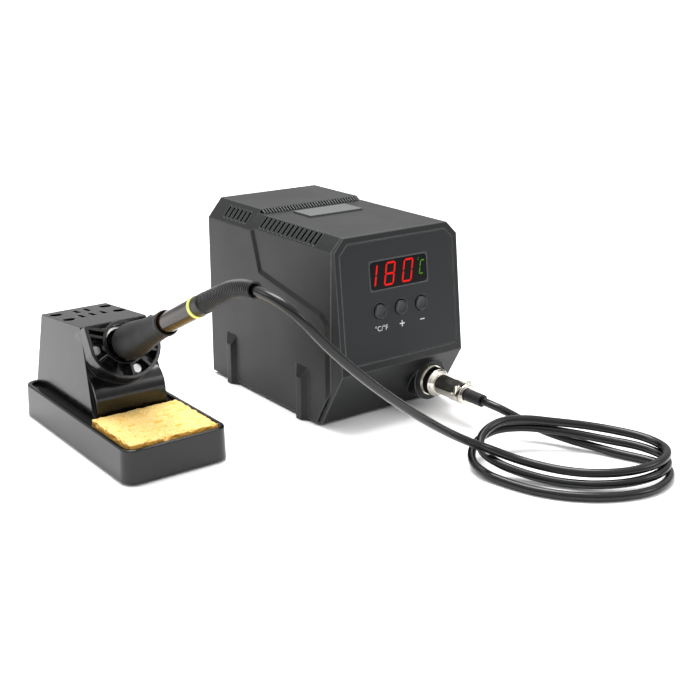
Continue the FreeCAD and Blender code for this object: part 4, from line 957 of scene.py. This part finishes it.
def pore_depth(spot):
    """How far a point of the sponge's skin is pushed in, in millimetres."""
    at = spot / mm
    small = max(0, noise.noise(at / 1.3) - 0.1) * 1.2
    large = max(0, noise.noise(Vector((at.x / 3.6, at.y / 2.6, at.z / 2.2)) + Vector((7, 3, 1))) - 0.24) * 5
    return 0.05 + small + min(large, 1.3)


sponge_shape = grid_block(sponge_low, sponge_high, SPONGE_CELL)
sponge_shape.normal_update()
sponge_middle = (sponge_low + sponge_high) / 2
sponge_half = (sponge_high - sponge_low) / 2
NICK_PLACE = -88.5 * mm          # along X, on the front edge
NICK_WIDE = 2.6 * mm
NICK_LONG = 3.2 * mm
NICK_DEEP = 5
NICK_FLOOR = 4 * mm              # the sponge below this height stays whole
for vertex in sponge_shape.verts:
    spot = vertex.co.copy()
    from_edge = sorted(sponge_half[k] - abs(spot[k] - sponge_middle[k]) for k in range(3))
    ragged = max(0, 1 - from_edge[1] / (1.1 * mm)) * (0.5 + 0.7 * noise.noise(spot / (2.4 * mm)))
    nick = max(0, 1 - math.hypot((spot.x - NICK_PLACE) / NICK_WIDE, (spot.y - sponge_low.y) / NICK_LONG))
    push = pore_depth(spot) + max(0, ragged)
    drop = nick * NICK_DEEP * mm if spot.z > sponge_low.z + NICK_FLOOR else 0
    vertex.co = spot - vertex.normal * (push * mm) - Vector((0, 0, drop))
sponge_mesh = bpy.data.meshes.new("cellulose_sponge")
sponge_shape.to_mesh(sponge_mesh)
sponge_shape.free()
for face in sponge_mesh.polygons:
    face.use_smooth = True
sponge = add_piece("cellulose_sponge", sponge_mesh, "sponge_body")
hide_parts("sponge")
print("sponge with", len(sponge_mesh.vertices), "points")

# %% [markdown]
# ## Cellulose
#
# Cellulose sponge is a mass of fine fibres with larger pores.  Two noises at those two sizes
# mix its yellows, and its sides are painted a darker orange than its top, as shade.

# %% Sponge material
cellulose = new_material("yellow_cellulose")
c_place = add(cellulose, "TexCoord").outputs["Object"]
fibres = add(cellulose, "TexNoise", {"Vector": c_place, "Scale": 1 / (1.1 * mm), "Detail": 5,
                                   "Roughness": 0.65})
c_stretch = add(cellulose, "Mapping", {"Vector": c_place, "Scale": (0.6, 0.9, 1.2)})
pores = add(cellulose, "TexNoise", {"Vector": c_stretch.outputs["Vector"], "Scale": 1 / (3.2 * mm),
                                  "Detail": 2})
pore_mask = add(cellulose, "MapRange", {"Value": pores.outputs["Fac"], "From Min": 0.6, "From Max": 0.68})
skin_tone = add(cellulose, "ValToRGB", {"Fac": fibres.outputs["Fac"]})
dark_end, pale_end = skin_tone.color_ramp.elements[0], skin_tone.color_ramp.elements[1]
dark_end.position, pale_end.position = 0.32, 0.62
dark_end.color, pale_end.color = linear("#dcb057"), linear("#e9cf8a")
with_pores = add(cellulose, "MixRGB", {"Fac": pore_mask.outputs["Result"],
                                       "Color1": skin_tone.outputs["Color"], "Color2": linear("#e0a835")})
# Painted shade: faces that turn away from straight up are mixed towards a darker orange.
facing = add(cellulose, "SeparateXYZ", {"Vector": add(cellulose, "NewGeometry").outputs["Normal"]})
painted_side_shade = add(cellulose, "MapRange", {"Value": facing.outputs["Z"], "From Min": 0.25, "From Max": 0.75,
                                       "To Min": 0.8, "To Max": 0.0})
sponge_tone = add(cellulose, "MixRGB", {"Fac": painted_side_shade.outputs["Result"],
                                        "Color1": with_pores.outputs["Color"], "Color2": linear("#cf9427")})
c_bump = add(cellulose, "Bump", {"Height": fibres.outputs["Fac"], "Strength": 0.7, "Distance": 0.4 * mm})
finish(cellulose, {"Base Color": sponge_tone.outputs["Color"], "Roughness": 0.85,
                   "Normal": c_bump.outputs["Normal"]})
sponge.data.materials.append(cellulose)

# %% [markdown]
# ## Floor and light
#
# A studio table: a pale floor, a surround that grows brighter overhead, and three large soft
# lamps.  Glossy black shows only what it mirrors, so the lamps' places decide where its
# edges shine.

# %% Floor
floor_mesh = bpy.data.meshes.new("floor")
floor_mesh.from_pydata([(-40, -40, 0), (40, -40, 0), (40, 40, 0), (-40, 40, 0)], [], [(0, 1, 2, 3)])
floor = bpy.data.objects.new("floor", floor_mesh)
scene.collection.objects.link(floor)
paper = new_material("pale_paper")
p_place = add(paper, "TexCoord").outputs["Object"]
p_grain = add(paper, "TexNoise", {"Vector": p_place, "Scale": 1 / (2 * mm), "Detail": 2})
p_bump = add(paper, "Bump", {"Height": p_grain.outputs["Fac"], "Strength": 0.05, "Distance": 0.05 * mm})
finish(paper, {"Base Color": linear("#f4f4f4"), "Roughness": 0.9, "Normal": p_bump.outputs["Normal"]})
floor.data.materials.append(paper)

# %% [markdown]
# ## Light
#
# The surround is a gradient by height, with a wide lamp overhead and two weak ones,
# at the left and at the front right.

# %% Light
scene.view_settings.view_transform = "Standard"
world = bpy.data.worlds.new("studio")
world.use_nodes = True
sky_place = add(world, "TexCoord").outputs["Generated"]
sky_height = add(world, "SeparateXYZ", {"Vector": sky_place})
sky_level = add(world, "MapRange", {"Value": sky_height.outputs["Z"], "From Min": 0.0, "From Max": 0.9,
                                    "To Min": 0.45, "To Max": 1.4})
world.node_tree.links.new(sky_level.outputs["Result"], world.node_tree.nodes["Background"].inputs["Strength"])
world.node_tree.nodes["Background"].inputs["Color"].default_value = (1, 1, 1, 1)
scene.world = world


def softbox(name, spot, aim, wide, tall, power):
    lamp = bpy.data.lights.new(name, "AREA")
    lamp.shape = "RECTANGLE"
    lamp.size, lamp.size_y, lamp.energy = wide, tall, power
    holder = bpy.data.objects.new(name, lamp)
    holder.location = spot
    holder.rotation_euler = (Vector(aim) - Vector(spot)).to_track_quat("-Z", "Y").to_euler()
    scene.collection.objects.link(holder)
    return holder


softbox("overhead", (0.1, 0.25, 1.3), (0, 0, 0), 0.9, 0.7, 24)
softbox("left_side", (-1.3, 0.9, 0.9), (0, 0, 0.05), 0.6, 0.6, 3)
softbox("front_right", (0.9, -1.1, 0.9), (0, 0, 0.05), 0.5, 0.5, 4)
print("three soft lamps")
